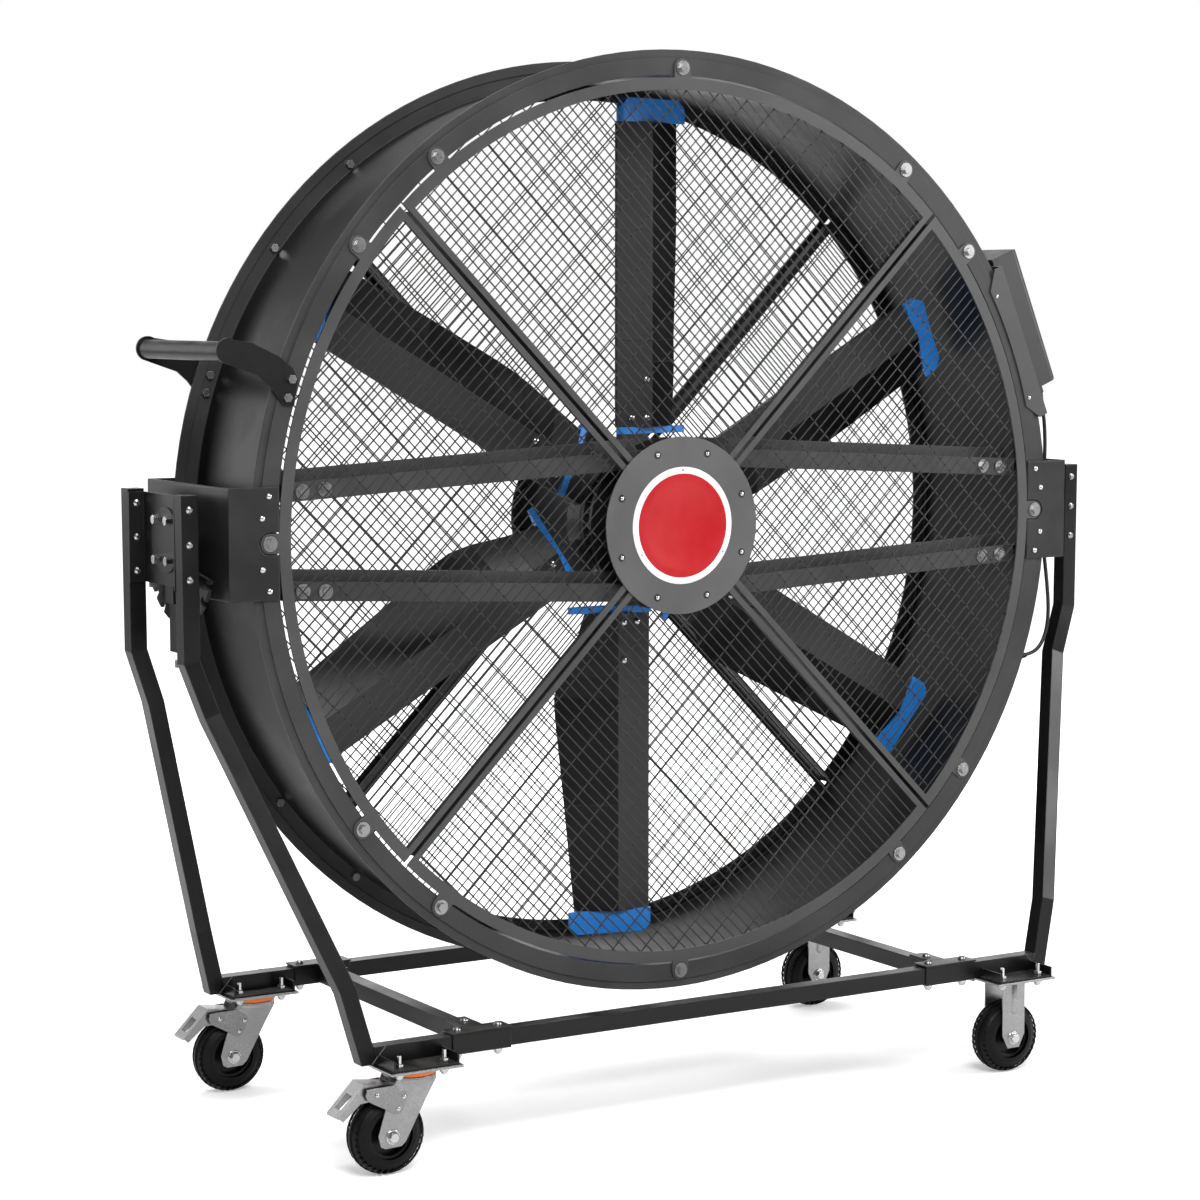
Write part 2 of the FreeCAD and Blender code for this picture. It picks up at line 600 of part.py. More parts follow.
def drum_yokes():
    """U-shaped brackets over both flanges with welded stub axles; the left one carries the tilt sector."""
    lip, sheet, tall = HALF_DEPTH, S.yoke_sheet, S.yoke_half_height
    out = lip + sheet
    shell = slab((S.yoke_inner, -out, -tall), (S.yoke_reach, out, tall))
    shell = shell.cut(slab((S.yoke_inner - S.overrun, -lip, -tall), (S.yoke_reach - sheet, lip, tall)))
    notch = tube(S.yoke_notch, out * 2, V(float(S.flange_bolt_circle), -float(out), 0), AXIS_Y)
    throat = slab((S.yoke_inner - S.overrun, -out, -S.yoke_notch), (S.flange_bolt_circle, out, S.yoke_notch))
    root = V(float(S.yoke_reach), 0, 0)
    axle = [tube(S.stub_radius, S.stub_length, root, AXIS_X), tube(S.boss_radius, S.sector_stand, root, AXIS_X)]
    yoke = shell.cut(notch).cut(throat).multiFuse(axle).removeSplitter()
    for name, way in SIDES:
        solid(name + "_drum_yoke", mirrored(yoke, way), AT_DRUM)
    solid("tilt_sector", mirrored(tilt_sector(), -1), AT_DRUM)


def tilt_sector():
    """Plate on the left yoke's boss: a neck round the stub axle and wings with a notch for each tilt stop."""
    radius, wing = float(S.sector_radius), math.radians(float(S.sector_half_angle))
    x, top, neck = float(S.sector_x), float(S.sector_top), float(S.sector_neck)
    y, z = radius * math.sin(wing), -radius * math.cos(wing)
    outline = [V(x, y, z), (V(x, 0, -radius), V(x, -y, z)), V(x, -neck, -neck), V(x, -neck, 0), V(x, -top, top),
               V(x, top, top), V(x, neck, 0), V(x, neck, -neck)]
    plate = face_of(outline).extrude(V(float(S.sector_sheet), 0, 0))
    steps = int(float(S.sector_half_angle) // float(S.notch_step_angle))
    wide, deep, sheet = float(S.notch_width), float(S.notch_depth), float(S.sector_sheet)
    for k in range(-steps, steps + 1):
        notch = Part.makeBox(sheet, wide, deep * 2, V(x, -wide / 2, -radius - deep))
        notch.rotate(V(), AXIS_X, k * float(S.notch_step_angle))
        plate = plate.cut(notch)
    hole = tube(S.stub_radius + S.fit_gap, S.sector_sheet, V(x, 0, 0), AXIS_X)
    return plate.cut(hole)


def leg_path(way, side):
    """Centreline of one leg from the top of its post to its foot on the base bar."""
    corners = [(S.post_x, S.post_y, S.post_top), (S.bend_one_x, S.post_y, S.bend_one_z),
               (S.bend_two_x, S.bend_two_y, S.bend_two_z), (S.bend_three_x, S.bend_three_y, S.bend_three_z),
               (S.foot_x, S.bar_y, S.bar_z - half(S.bar_side))]
    return [V(way * float(x), side * float(y), float(z)) for x, y, z in corners]


def square_sweep(path, side):
    """A square section carried along a bent path with mitred corners."""
    a = float(side) / 2
    ring = [path[0] + V(x, y, 0) for x, y in ((-a, -a), (a, -a), (a, a), (-a, a))]
    section = Part.makePolygon(ring + ring[:1])
    return Part.makePolygon(path).makePipeShell([section], True, False, 1)


def legs():
    floor = S.bar_z - half(S.bar_side)
    reach = S.post_x * 2
    below = slab((-reach, -reach, floor - S.bar_side), (reach, reach, floor))
    for face, _, side in FACES:
        for name, way in SIDES:
            path = leg_path(way, side)
            inner = [path[0] - V(0, 0, float(S.post_wall))] + path[1:]
            leg = square_sweep(path, S.post_side).cut(square_sweep(inner, S.post_side - S.post_wall * 2))
            solid("%s_%s_leg" % (face, name), leg.cut(below))


def base_frame():
    """Bars between the legs, sleeves round them and cross tubes from front to rear."""
    level, a, c = S.bar_z, half(S.bar_side), half(S.sleeve_side)
    b, d = a - S.bar_wall, a + S.fit_gap
    bars = []
    sleeves = []
    pipes = []
    for _, _, side in FACES:
        y = S.bar_y * side
        bar = slab((-S.foot_x, y - a, level - a), (S.foot_x, y + a, level + a))
        bar = bar.cut(slab((-S.foot_x, y - b, level - b), (S.foot_x, y + b, level + b)))
        for _, way in SIDES:
            leg = square_sweep(leg_path(way, side), S.post_side)
            for shift in (-1, 0, 1):
                bar = bar.cut(leg.translated(V(0, shift * float(S.overrun), 0)))
            sleeve = slab((S.sleeve_inner, y - c, level - c), (S.sleeve_outer, y + c, level + c))
            hollow = slab((S.sleeve_inner, y - d, level - d), (S.sleeve_outer, y + d, level + d))
            sleeves.append(mirrored(sleeve.cut(hollow), way))
        bars.append(bar)
    span = S.bar_y - c
    for _, way in SIDES:
        pipe = slab((S.cross_x - a, -span, level - a), (S.cross_x + a, span, level + a))
        hollow = slab((S.cross_x - b, -span, level - b), (S.cross_x + b, span, level + b))
        pipes.append(mirrored(pipe.cut(hollow), way))
    solid("base_bars", Part.makeCompound(bars))
    solid("base_sleeves", Part.makeCompound(sleeves))
    solid("cross_tubes", Part.makeCompound(pipes))


def saddles():
    """Channels between the posts, with the pivot bearings inside and round caps outside."""
    inner_y = S.post_y - half(S.post_side)
    sheet, tall, face = S.saddle_sheet, S.saddle_half_height, S.saddle_face
    outer = S.post_x + half(S.post_side)
    saddle = slab((face - sheet, -inner_y, -tall), (outer, inner_y, tall))
    saddle = saddle.cut(slab((face, sheet - inner_y, -tall), (outer, inner_y - sheet, tall)))
    start = V(float(S.bearing_face), 0, 0)
    cup = tube(S.bearing_radius, face - sheet - S.bearing_face, start, AXIS_X)
    cup = cup.cut(tube(S.stub_radius + S.running_gap, S.stub_end - S.bearing_face + S.fit_gap, start, AXIS_X))
    cap = tube(S.pivot_cap_radius, S.pivot_cap_sheet, V(float(face), 0, 0), AXIS_X)
    solid("pivot_saddles", Part.makeCompound([mirrored(saddle, way) for _, way in SIDES]), AT_DRUM)
    bearings = [mirrored(piece, way) for _, way in SIDES for piece in (cup, cap)]
    solid("pivot_bearings", Part.makeCompound(bearings), AT_DRUM)


def stand_bolts(bolts):
    """Caster studs and the bolt heads of the pivot caps, posts and sleeves."""
    outward = FreeCAD.Rotation(AXIS_Y, QUARTER)
    face = float(S.saddle_face + S.pivot_cap_sheet)
    for y in (-float(S.pivot_bolt_y), float(S.pivot_bolt_y)):
        for z in (-float(S.pivot_bolt_z), float(S.pivot_bolt_z)):
            stand = hexagon(S.head_radius, S.head_height + S.pivot_bolt_stand, V())
            bolts.append(moved(stand, FreeCAD.Placement(DRUM_CENTRE + V(face, y, z), outward)))
    for _, rotation, side in FACES:
        y = side * float(S.post_y + half(S.post_side))
        inside = side * float(S.post_y - half(S.post_side) - S.saddle_sheet)
        inward = BACK if side < 0 else FRONT
        for k in (-1, 0, 1):
            level = k * float(S.post_bolt_step)
            bolts.append(dome_bolt(DRUM_CENTRE + V(float(S.post_x), y, level), rotation))
            bolts.append(dome_bolt(DRUM_CENTRE + V(float(S.post_x), inside, level), inward))
        for x in (S.sleeve_inner + S.sleeve_bolt_inset, S.sleeve_outer - S.sleeve_bolt_inset):
            for turn, up in ((UPRIGHT, 1), (FreeCAD.Rotation(AXIS_X, HALF_TURN), -1)):
                spot = V(float(x), side * float(S.bar_y), float(S.bar_z) + up * float(half(S.sleeve_side)))
                bolts.append(dome_bolt(spot, turn))
    solid("stand_bolts", Part.makeCompound([mirrored(b, way) for _, way in SIDES for b in bolts]))


def tilt_lock():
    """Bent bracket under the left saddle that guides a hand plunger below the sector."""
    face, sheet = S.saddle_face - S.saddle_sheet, S.latch_sheet
    pin_x = S.sector_x + half(S.sector_sheet)
    arm = S.sector_x + S.sector_sheet * 2
    foot = pin_x - S.knob_radius
    shelf, foot_low = S.latch_shelf, S.latch_foot_bottom
    corners = [(face, S.latch_top), (face, shelf - sheet), (arm + sheet, shelf - sheet), (arm + sheet, foot_low),
               (foot, foot_low), (foot, S.latch_foot_top), (arm, S.latch_foot_top), (arm, shelf),
               (face - sheet, shelf), (face - sheet, S.latch_top)]
    a = float(half(S.latch_width))
    outline = [V(float(x), -a, float(z)) for x, z in corners]
    bracket = face_of(outline).extrude(V(0, a * 2, 0))
    bore = tube(S.plunger_radius + S.running_gap, S.latch_foot_top - foot_low, V(float(pin_x), 0, float(foot_low)),
                AXIS_Z)
    around = tube(S.bearing_radius + S.fit_gap, S.saddle_face, DRUM_CENTRE, AXIS_X)
    solid("tilt_lock_bracket", mirrored(bracket.cut(bore).cut(around), -1))
    tip = S.axis_height - S.sector_radius - S.plunger_rest_gap
    low = foot_low - S.plunger_travel
    base = low - S.knob_height
    outline = [(ZERO, base), (S.knob_radius, base), (S.knob_radius, low), (S.plunger_radius, low),
               (S.plunger_radius, tip), (ZERO, tip)]
    body = turned("tilt_lock_plunger", outline, "XZ_Plane")
    bind(body, "Placement.Base.x", -pin_x)
    node(body, "tilt_lock_plunger")


# Handle plate corners as shares of its reach from the grip to the flange bolts.
HANDLE_UPPER_SHARES = ((0.11, 0.165), (0.37, 0.127), (0.8, -0.073), (1.02, -0.245), (1.1, -0.4))
HANDLE_LOWER_SHARES = ((1.03, -0.79), (0.86, -0.77), (0.645, -0.49), (0.48, -0.345), (-0.03, -0.17))
HANDLE_NOSE_SHARE = (-0.168, 0.02)
HANDLE_BOLT_SHARES = ((0.99, -0.4), (0.92, -0.664))


def handle_point(share):
    reach = float(S.handle_reach)
    return V(share[0] * reach - float(S.grip_x), share[1] * reach + float(S.grip_z), 0)


def handle_bolts():
    return [handle_point(s) for s in HANDLE_BOLT_SHARES]


def handle():
    """Grip tube between two bent plates that are bolted on the flanges."""
    outline = [handle_point(s) for s in HANDLE_UPPER_SHARES + HANDLE_LOWER_SHARES]
    outline.append((handle_point(HANDLE_NOSE_SHARE), outline[0]))
    plate = face_of(outline).extrude(V(0, 0, float(S.handle_sheet)))
    plates = []
    for y in (-HALF_DEPTH, HALF_DEPTH + S.handle_sheet):
        plates.append(moved(plate, FreeCAD.Placement(V(0, float(y), 0), FRONT)))
    solid("handle_plates", Part.makeCompound(plates))
    node(rod("handle_grip", S.grip_radius, S.drum_depth, (-S.grip_x, -HALF_DEPTH, S.grip_z), "y"), "handle_grip")


def box_place():
    """Control box frame: local X out from the drum, local Y up along it, local Z towards the viewer."""
    tilt = FreeCAD.Rotation(AXIS_Y, -float(S.box_angle))
    return FreeCAD.Placement(DRUM_CENTRE, tilt.multiply(FRONT))


BRACKET_ARC_SHARE = 0.78


def control_box():
    """Speed control with a lid and a dial, seated on a U bracket over the flanges."""
    place = box_place()
    inner, low, wide = S.box_seat, S.box_offset - half(S.box_length), half(S.box_width)
    top, high = inner + S.box_height, low + S.box_length
    face = top + S.lid_height
    base = slab((inner, low, -wide), (top, high, wide))
    lid = slab((top, low, -wide), (face, high, wide))
    lid = lid.makeFillet(float(S.box_corner), [e for e in lid.Edges if e.BoundBox.XMin > float(top + S.overrun)])
    bore = tube(S.dial_stem + S.running_gap, S.lid_height, V(float(top), float(S.box_offset), 0), AXIS_X)
    solid("control_box", base, place)
    solid("control_box_lid", lid.cut(bore), place)
    start = V(float(face + S.swivel_gap), float(S.box_offset), 0)
    dial = tube(S.dial_radius, S.dial_height, start, AXIS_X)
    stem = tube(S.dial_stem, half(S.lid_height), start - V(float(half(S.lid_height)), 0, 0), AXIS_X)
    solid("speed_dial", dial.fuse(stem).removeSplitter(), place)
    sheet, lip = float(S.bracket_sheet), float(HALF_DEPTH)
    seat_x, arc, drop = float(inner), float(S.bracket_arc), float(S.bracket_shoulder)
    up, down = float(S.bracket_top), -float(S.bracket_bottom)
    rise, fall = up * BRACKET_ARC_SHARE, down * BRACKET_ARC_SHARE
    outline = [V(seat_x, down, 0), V(seat_x, up, 0), V(seat_x - drop, up, 0), V(math.sqrt(arc ** 2 - rise ** 2), rise, 0),
               (V(arc, 0, 0), V(math.sqrt(arc ** 2 - fall ** 2), fall, 0)), V(seat_x - drop, down, 0)]
    cheek = face_of(outline).extrude(V(0, 0, sheet))
    web = Part.makeBox(sheet, up - down, lip * 2, V(seat_x - sheet, down, -lip))
    cheeks = [cheek.translated(V(0, 0, lip)), cheek.translated(V(0, 0, -lip - sheet))]
    solid("control_box_bracket", web.multiFuse(cheeks).removeSplitter(), place)


def gland_spot():
    """Foot of the lead's gland on the lower end of the control box, in the box frame."""
    x, y = S.box_seat + half(S.box_height), S.box_offset - half(S.box_length)
    return V(float(x), float(y), float(S.cable_y))


def inlet_spot():
    """Foot of the supply gland on the rear side of the control box, in the box frame."""
    x, y = S.box_seat + half(S.box_height), S.box_offset - S.inlet_drop
    return V(float(x), float(y), -float(half(S.box_width)))


# Corners of the lead as shares of one slack length, from the yoke's inside and lower edge.
LOOP_SHARES = ((-0.02, 4.2), (0.06, 3.4), (0.04, 2.55), (-0.02, 1.7), (0.0, 0.85), (0.08, 0.0), (0.2, -0.8),
               (0.28, -1.6), (0.2, -2.25), (-0.06, -2.7), (-0.46, -2.87), (-0.88, -2.89))


def cable_route():
    """Route of the motor lead: from the box gland down behind the yoke, a slack loop, into the drum wall."""
    y = -float(S.cable_y)
    first = box_place().multVec(gland_spot() - V(0, float(S.gland_length), 0))
    inside = float(S.yoke_reach - S.yoke_sheet) - float(S.cable_diameter) * 2
    below, slack = float(S.axis_height - S.yoke_half_height), float(S.cable_slack)
    return [first] + [V(inside + x * slack, y, below + z * slack) for x, z in LOOP_SHARES]


def cable_path(points):
    """Straight runs joined by tangent arcs, each as large as its two runs allow."""
    run_share = 0.45
    runs = [(b - a).Length for a, b in zip(points, points[1:])]
    edges = []
    radii = []
    here = points[0]
    for k in range(1, len(points) - 1):
        into, out = (points[k] - points[k - 1]).normalize(), (points[k + 1] - points[k]).normalize()
        bend = into.getAngle(out)
        back = min(runs[k - 1], runs[k]) * run_share
        radius = back / math.tan(bend / 2)
        radii.append(radius)
        start, end = points[k] - into * back, points[k] + out * back
        side = (out - into).normalize()
        middle = points[k] + side * (radius / math.cos(bend / 2) - radius)
        edges += [Part.LineSegment(here, start).toShape(), Part.Arc(start, middle, end).toShape()]
        here = end
    edges.append(Part.LineSegment(here, points[-1]).toShape())
    return Part.Wire(edges), radii, runs


def motor_cable():
    points = cable_route()
    path, radii, runs = cable_path(points)
    r = float(half(S.cable_diameter))
    ring = Part.Wire(Part.makeCircle(r, points[0], points[1] - points[0]))
    lead = path.makePipeShell([ring], True, False)
    print("cable radii", [round(x) for x in radii], "runs", [round(x) for x in runs])
    print("cable length", round(path.Length, 1), "volume over section times length",
          round(lead.Volume / (math.pi * r * r * path.Length), 4))
    print("cable route", [[round(c, 1) for c in p] for p in points])
    solid("motor_cable", lead)
    place = box_place()
    down = V(0, -1, 0)
    outlet = moved(tube(S.gland_radius, S.gland_length, gland_spot(), down), place)
    rear = V(0, 0, -1)
    inlet = tube(S.gland_radius, S.gland_length, inlet_spot(), rear)
    inlet = moved(inlet.cut(tube(S.inlet_radius, S.gland_length, inlet_spot(), rear)), place)
    entry = tube(S.gland_radius, S.flange_radius - S.rib_start, points[-1], -AXIS_X)
    wall = moved(tube(S.wall_radius + S.drum_sheet, S.drum_depth, V(0, -float(HALF_DEPTH), 0), AXIS_Y), AT_DRUM)
    solid("cable_glands", Part.makeCompound([outlet, inlet, entry.cut(wall)]))


def tray_top():
    return S.bar_z - half(S.bar_side)


def stud_spots():
    return [(x, y) for x in (-S.stud_x, S.stud_x) for y in (-S.stud_y, S.stud_y)]


def trays():
    """Channel trays under the base bars with end lips notched for the bar, and their studs and nuts."""
    top, a, w = tray_top(), half(S.tray_length), half(S.tray_width)
    low, x = top - S.tray_sheet, S.caster_x
    gap = half(S.bar_side) + S.fit_gap
    shapes = []
    studs = []
    for _, _, side in FACES:
        y, bar = S.caster_y * side, S.bar_y * side
        tray = slab((x - a, y - w, low), (x + a, y + w, low + S.tray_lip))
        tray = tray.cut(slab((x - a + S.tray_sheet, y - w, top), (x + a - S.tray_sheet, y + w, top + S.tray_lip)))
        tray = tray.cut(slab((x - a, bar - gap, top), (x + a, bar + gap, top + S.tray_lip)))
        shapes.append(tray)
        for dx, dy in stud_spots():
            spot = V(float(x + dx), float(y + dy), float(top))
            nut = hexagon(S.head_radius, S.nut_height, spot)
            studs.append(nut.fuse(hexagon(S.stud_radius, S.stud_height, spot)))
    solid("caster_trays", Part.makeCompound([mirrored(t, way) for _, way in SIDES for t in shapes]))
    return studs


def plate_low():
    return tray_top() - S.tray_sheet - S.plate_sheet


def top_plate():
    a, w, low = half(S.plate_length), half(S.plate_width), plate_low()
    return slab((-a, -w, low), (a, w, low + S.plate_sheet))


def fork_cheeks(outline):
    """Both flat cheeks of a fork from one outline in local XZ."""
    gap, sheet = float(half(S.fork_gap)), float(S.fork_sheet)
    cheeks = []
    for y in (gap, -gap - sheet):
        face = face_of(outline)
        face.translate(V(0, y, 0))
        cheeks.append(face.extrude(V(0, sheet, 0)))
    return cheeks


def axle_bolt(hub):
    """Wheel axle through both fork cheeks with a hexagon at each end."""
    reach = float(half(S.fork_gap) + S.fork_sheet)
    pin = tube(S.axle_radius, reach * 2, V(0, -reach, 0), AXIS_Y)
    ends = []
    for _, rotation, side in FACES:
        head = hexagon(S.axle_nut, S.nut_height, V())
        ends.append(moved(head, FreeCAD.Placement(V(0, side * reach, 0), rotation)))
    return moved(pin.multiFuse(ends).removeSplitter(), FreeCAD.Placement(hub, UPRIGHT))


# Tyre corners as shares of the height above the rim and of the half width, from bead to crown.
TYRE_SHARES = ((0.45, 1.0), (0.84, 0.8), (1.0, 0.28))


def wheel(hub):
    """Tyre with a rounded crown and a rim with its hub, turned about the axle."""
    r, w, rim, bead = S.wheel_radius, half(S.tyre_width), S.rim_radius, S.tyre_bead
    wall = [V(float(rim), float(bead), 0)]
    wall += [V(float(rim + (r - rim) * up), float(w) * out, 0) for up, out in TYRE_SHARES]
    section = face_of([V(p.x, -p.y, 0) for p in wall] + wall[::-1])
    tyre = section.revolve(V(), AXIS_Y, FULL)
    bore, boss, lip = S.axle_radius + S.running_gap, S.wheel_hub, S.rim_lip
    face, web = half(S.fork_gap) - S.swivel_gap, S.rim_web
    corners = [(bore, -face), (boss, -face), (boss, -web), (lip, -web), (lip, -bead), (rim, -bead), (rim, bead),
               (lip, bead), (lip, web), (boss, web), (boss, face), (bore, face)]
    disc = face_of([V(float(x), float(y), 0) for x, y in corners]).revolve(V(), AXIS_Y, FULL)
    at = FreeCAD.Placement(hub, UPRIGHT)
    return moved(tyre, at), moved(disc, at)


# Fork corners as shares of the fork's half width and of its height above the axle.
FORK_BACK_SHARES = ((-1.0, 0.62), (-1.62, 0.1))
FORK_FRONT_SHARES = ((-0.65, -0.02), (1.0, 0.72))
EYE_LOW_SHARE = 0.9


def swivel_fork():
    """Raked fork under the swivel head, trailing towards local -X, with ears for the brake pedal."""
    top = float(plate_low() - S.seal_height - S.swivel_gap)
    hub = V(-float(S.trail), 0, float(S.wheel_radius))
    wide, tall, eye = float(half(S.fork_width)), top - hub.z, float(S.fork_eye)
    pin, ear = V(-float(S.pedal_pin_x), 0, float(S.pedal_pin_z)), float(S.ear_radius_low)
    tip = pin - V(float(S.ear_length), 0, 0)

    def at(share):
        return V(share[0] * wide, 0, hub.z + share[1] * tall)

    low = hub - V(0, 0, eye * EYE_LOW_SHARE)
    outline = [V(wide, 0, top), V(-wide, 0, top), tip + V(0, 0, ear), (tip - V(ear, 0, 0), tip - V(0, 0, ear)),
               at(FORK_BACK_SHARES[0]), at(FORK_BACK_SHARES[1]), (low, at(FORK_FRONT_SHARES[0])),
               at(FORK_FRONT_SHARES[1])]
    reach = half(S.fork_gap) + S.fork_sheet
    crown = slab((-wide, -reach, top - float(S.fork_top)), (wide, reach, top))
    rivet = tube(S.pedal_pin, reach * 2, pin - V(0, float(reach), 0), AXIS_Y)
    fork = crown.multiFuse(fork_cheeks(outline) + [rivet]).removeSplitter()
    bore = tube(S.kingpin_radius + S.running_gap, S.fork_top, V(0, 0, top - float(S.fork_top)), AXIS_Z)
    eyes = tube(S.axle_radius, reach * 2, hub - V(0, float(reach), 0), AXIS_Y)
    return Part.makeCompound([fork.cut(bore).cut(eyes), axle_bolt(hub)]), hub


# Pedal corners as shares of its length from the hinge pin: the bent plate, then the flanges' lower edge.
PLATE_SHARES = ((0.45, 0.23), (-0.3, 0.33), (-1.0, -0.38))
FLANGE_SHARES = ((-0.88, -0.5), (-0.41, -0.12), (0.0, -0.09), (0.12, 0.0), (0.36, 0.12))
PEDAL_HOLE_SHARES = (-0.86, -0.55)


def brake_pedal():
    """Folded pedal hinged between the fork's ears: a bent plate with an oblong window and two side flanges."""
    pin = V(-float(S.pedal_pin_x), 0, float(S.pedal_pin_z))
    long, wide, sheet = float(S.pedal_length), float(S.pedal_half_width), float(S.pedal_sheet)
    top = [pin + V(x * long, 0, z * long) for x, z in PLATE_SHARES]
    edge = [pin + V(x * long, 0, z * long) for x, z in FLANGE_SHARES]
    under = [p - V(0, 0, sheet) for p in reversed(top)]
    plate = face_of(top + under).extrude(V(0, wide * 2, 0))
    flange = face_of(top + edge).extrude(V(0, sheet, 0))
    far = flange.translated(V(0, wide * 2 - sheet, 0))
    pedal = plate.multiFuse([flange, far]).removeSplitter()
    pedal.translate(V(0, -wide, 0))
    start, end = [pin.x + s * long for s in PEDAL_HOLE_SHARES]
    window = Part.makeBox(end - start, wide, long * 2, V(start, -wide / 2, pin.z - long))
    bore = tube(S.pedal_pin + S.running_gap, wide * 2, pin - V(0, wide, 0), AXIS_Y)
    return pedal.cut(window).cut(bore)


# Rigid fork corners as shares of its half width and of the axle height over the floor.
RIGID_SHARES = ((-0.85, 1.1), (-0.4, 0.72), (0.4, 0.72), (0.85, 1.1))


def rigid_fork():
    hub = V(0, 0, float(S.wheel_radius))
    wide, low = float(half(S.rigid_width)), float(plate_low())
    outline = [V(wide, 0, low), V(-wide, 0, low)] + [V(x * wide, 0, z * hub.z) for x, z in RIGID_SHARES]
    reach = float(half(S.fork_gap) + S.fork_sheet)
    fork = top_plate().multiFuse(fork_cheeks(outline)).removeSplitter()
    fork = fork.cut(tube(S.axle_radius, reach * 2, hub - V(0, reach, 0), AXIS_Y))
    return Part.makeCompound([fork, axle_bolt(hub)]), hub


def swivel_head():
    """Top plate with the kingpin that carries the fork."""
    low = plate_low() - S.seal_height
    base = low - S.swivel_gap * 2 - S.fork_top - S.kingpin_head_height
    pin = tube(S.kingpin_radius, low - base, V(0, 0, float(base)), AXIS_Z)
    head = tube(S.kingpin_head, S.kingpin_head_height, V(0, 0, float(base)), AXIS_Z)
    seal = tube(S.seal_radius, S.seal_height, V(0, 0, float(low)), AXIS_Z)
    return Part.makeCompound([top_plate(), pin.fuse(head).removeSplitter()]), seal


def casters():
    """Two braked swivel casters on the left, two rigid casters on the right."""
    head, seal = swivel_head()
    fork, trailing = swivel_fork()
    rigid, straight = rigid_fork()
    pedal = brake_pedal()
    heads = []
    seals = []
    rigids = []
    for face, _, side in FACES:
        left = FreeCAD.Placement(V(-float(S.caster_x), side * float(S.caster_y), 0), UPRIGHT)
        right = FreeCAD.Placement(V(float(S.caster_x), side * float(S.caster_y), 0), UPRIGHT)
        heads.append(moved(head, left))
        seals.append(moved(seal, left))
        rigids.append(moved(rigid, right))
        solid(face + "_left_fork", fork.copy(), left)
        solid(face + "_left_brake_pedal", pedal.copy(), left)
        for name, hub, place in (("left", trailing, left), ("right", straight, right)):
            tyre, disc = wheel(hub)
            solid("%s_%s_tyre" % (face, name), tyre, place)
            solid("%s_%s_rim" % (face, name), disc, place)
    solid("swivel_heads", Part.makeCompound(heads))
    solid("swivel_seals", Part.makeCompound(seals))
    solid("rigid_forks", Part.makeCompound(rigids))


def write_parts():
    DOC.recompute()
    for thing in DOC.Objects:
        if "Invalid" in thing.State or "Error" in thing.State:
            raise RuntimeError("failed object: " + thing.Label)
    for label, thing in NODES:
        if thing.Shape.isNull() or not thing.Shape.isValid():
            raise RuntimeError("bad shape: " + label)
    os.makedirs("parts", exist_ok=True)
    for label, thing in NODES:
        thing.Shape.exportStep("parts/%s.step" % label)
    print(len(NODES), "sub-parts,", sum(len(t.Shape.Solids) for _, t in NODES), "solids")


drum()
guards()
hub_plates()
drum_bolts()
motor_arms()
arm_feet()
motor()
rotor()
drum_yokes()
legs()
base_frame()
saddles()
tilt_lock()
handle()
control_box()
motor_cable()
stand_bolts(trays())
casters()
write_parts()
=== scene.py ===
import math

import bmesh
import bpy
from mathutils import Matrix, Vector


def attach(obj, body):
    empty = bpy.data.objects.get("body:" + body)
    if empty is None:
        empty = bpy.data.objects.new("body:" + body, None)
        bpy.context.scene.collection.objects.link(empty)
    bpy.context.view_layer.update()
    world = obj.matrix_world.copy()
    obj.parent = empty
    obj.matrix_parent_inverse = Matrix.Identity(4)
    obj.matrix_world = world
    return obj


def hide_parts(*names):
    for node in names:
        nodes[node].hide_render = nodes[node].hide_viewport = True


# %% [markdown]
# # A portable industrial fan on a tilting stand
# The fan is a short steel drum, 1.6 m across, hung between two pairs of bent legs on
# casters. Everything mechanical comes from the construction model, in metres, with the origin
# on the floor under the middle of the drum: X to the right, Y to the back, Z up.
# This script adds what a construction model leaves out: finishes, small fastenings, the tread
# of the tyres, the bend of the blades, the riveted forks, the cable, the room and the camera.

# %% Load the construction model
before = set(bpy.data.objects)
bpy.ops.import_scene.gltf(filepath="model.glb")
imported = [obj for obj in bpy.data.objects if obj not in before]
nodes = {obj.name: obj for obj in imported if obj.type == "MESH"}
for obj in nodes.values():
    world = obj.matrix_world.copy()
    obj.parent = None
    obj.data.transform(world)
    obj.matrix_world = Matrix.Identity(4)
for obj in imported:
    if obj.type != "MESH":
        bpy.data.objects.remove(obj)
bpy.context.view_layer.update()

# %% [markdown]
# ## The camera
# The picture was taken with a long lens from the front left, a little above the middle of the
# drum. A long lens keeps the drum's ellipse nearly the same at the near and the far side. The
# angles below came from matching known points of the fan with the same points in the picture.

# %% Camera
LENS = 90.89
SENSOR = 36.0
FARTHEST = 60.0
CAMERA_PLACE = (-2.7947, -4.4821, 1.3722)
LOOK_DOWN = 5.6025
LOOK_RIGHT = 31.336
scene = bpy.context.scene
camera_data = bpy.data.cameras.new("camera")
camera_data.sensor_width = SENSOR
camera_data.lens = LENS
camera_data.clip_end = FARTHEST
camera = bpy.data.objects.new("camera", camera_data)
camera.location = CAMERA_PLACE
camera.rotation_euler = (math.radians(90.0 - LOOK_DOWN), 0.0, math.radians(-LOOK_RIGHT))
scene.collection.objects.link(camera)
scene.camera = camera
scene.view_settings.view_transform = "Standard"
print("camera lens:", camera_data.lens)
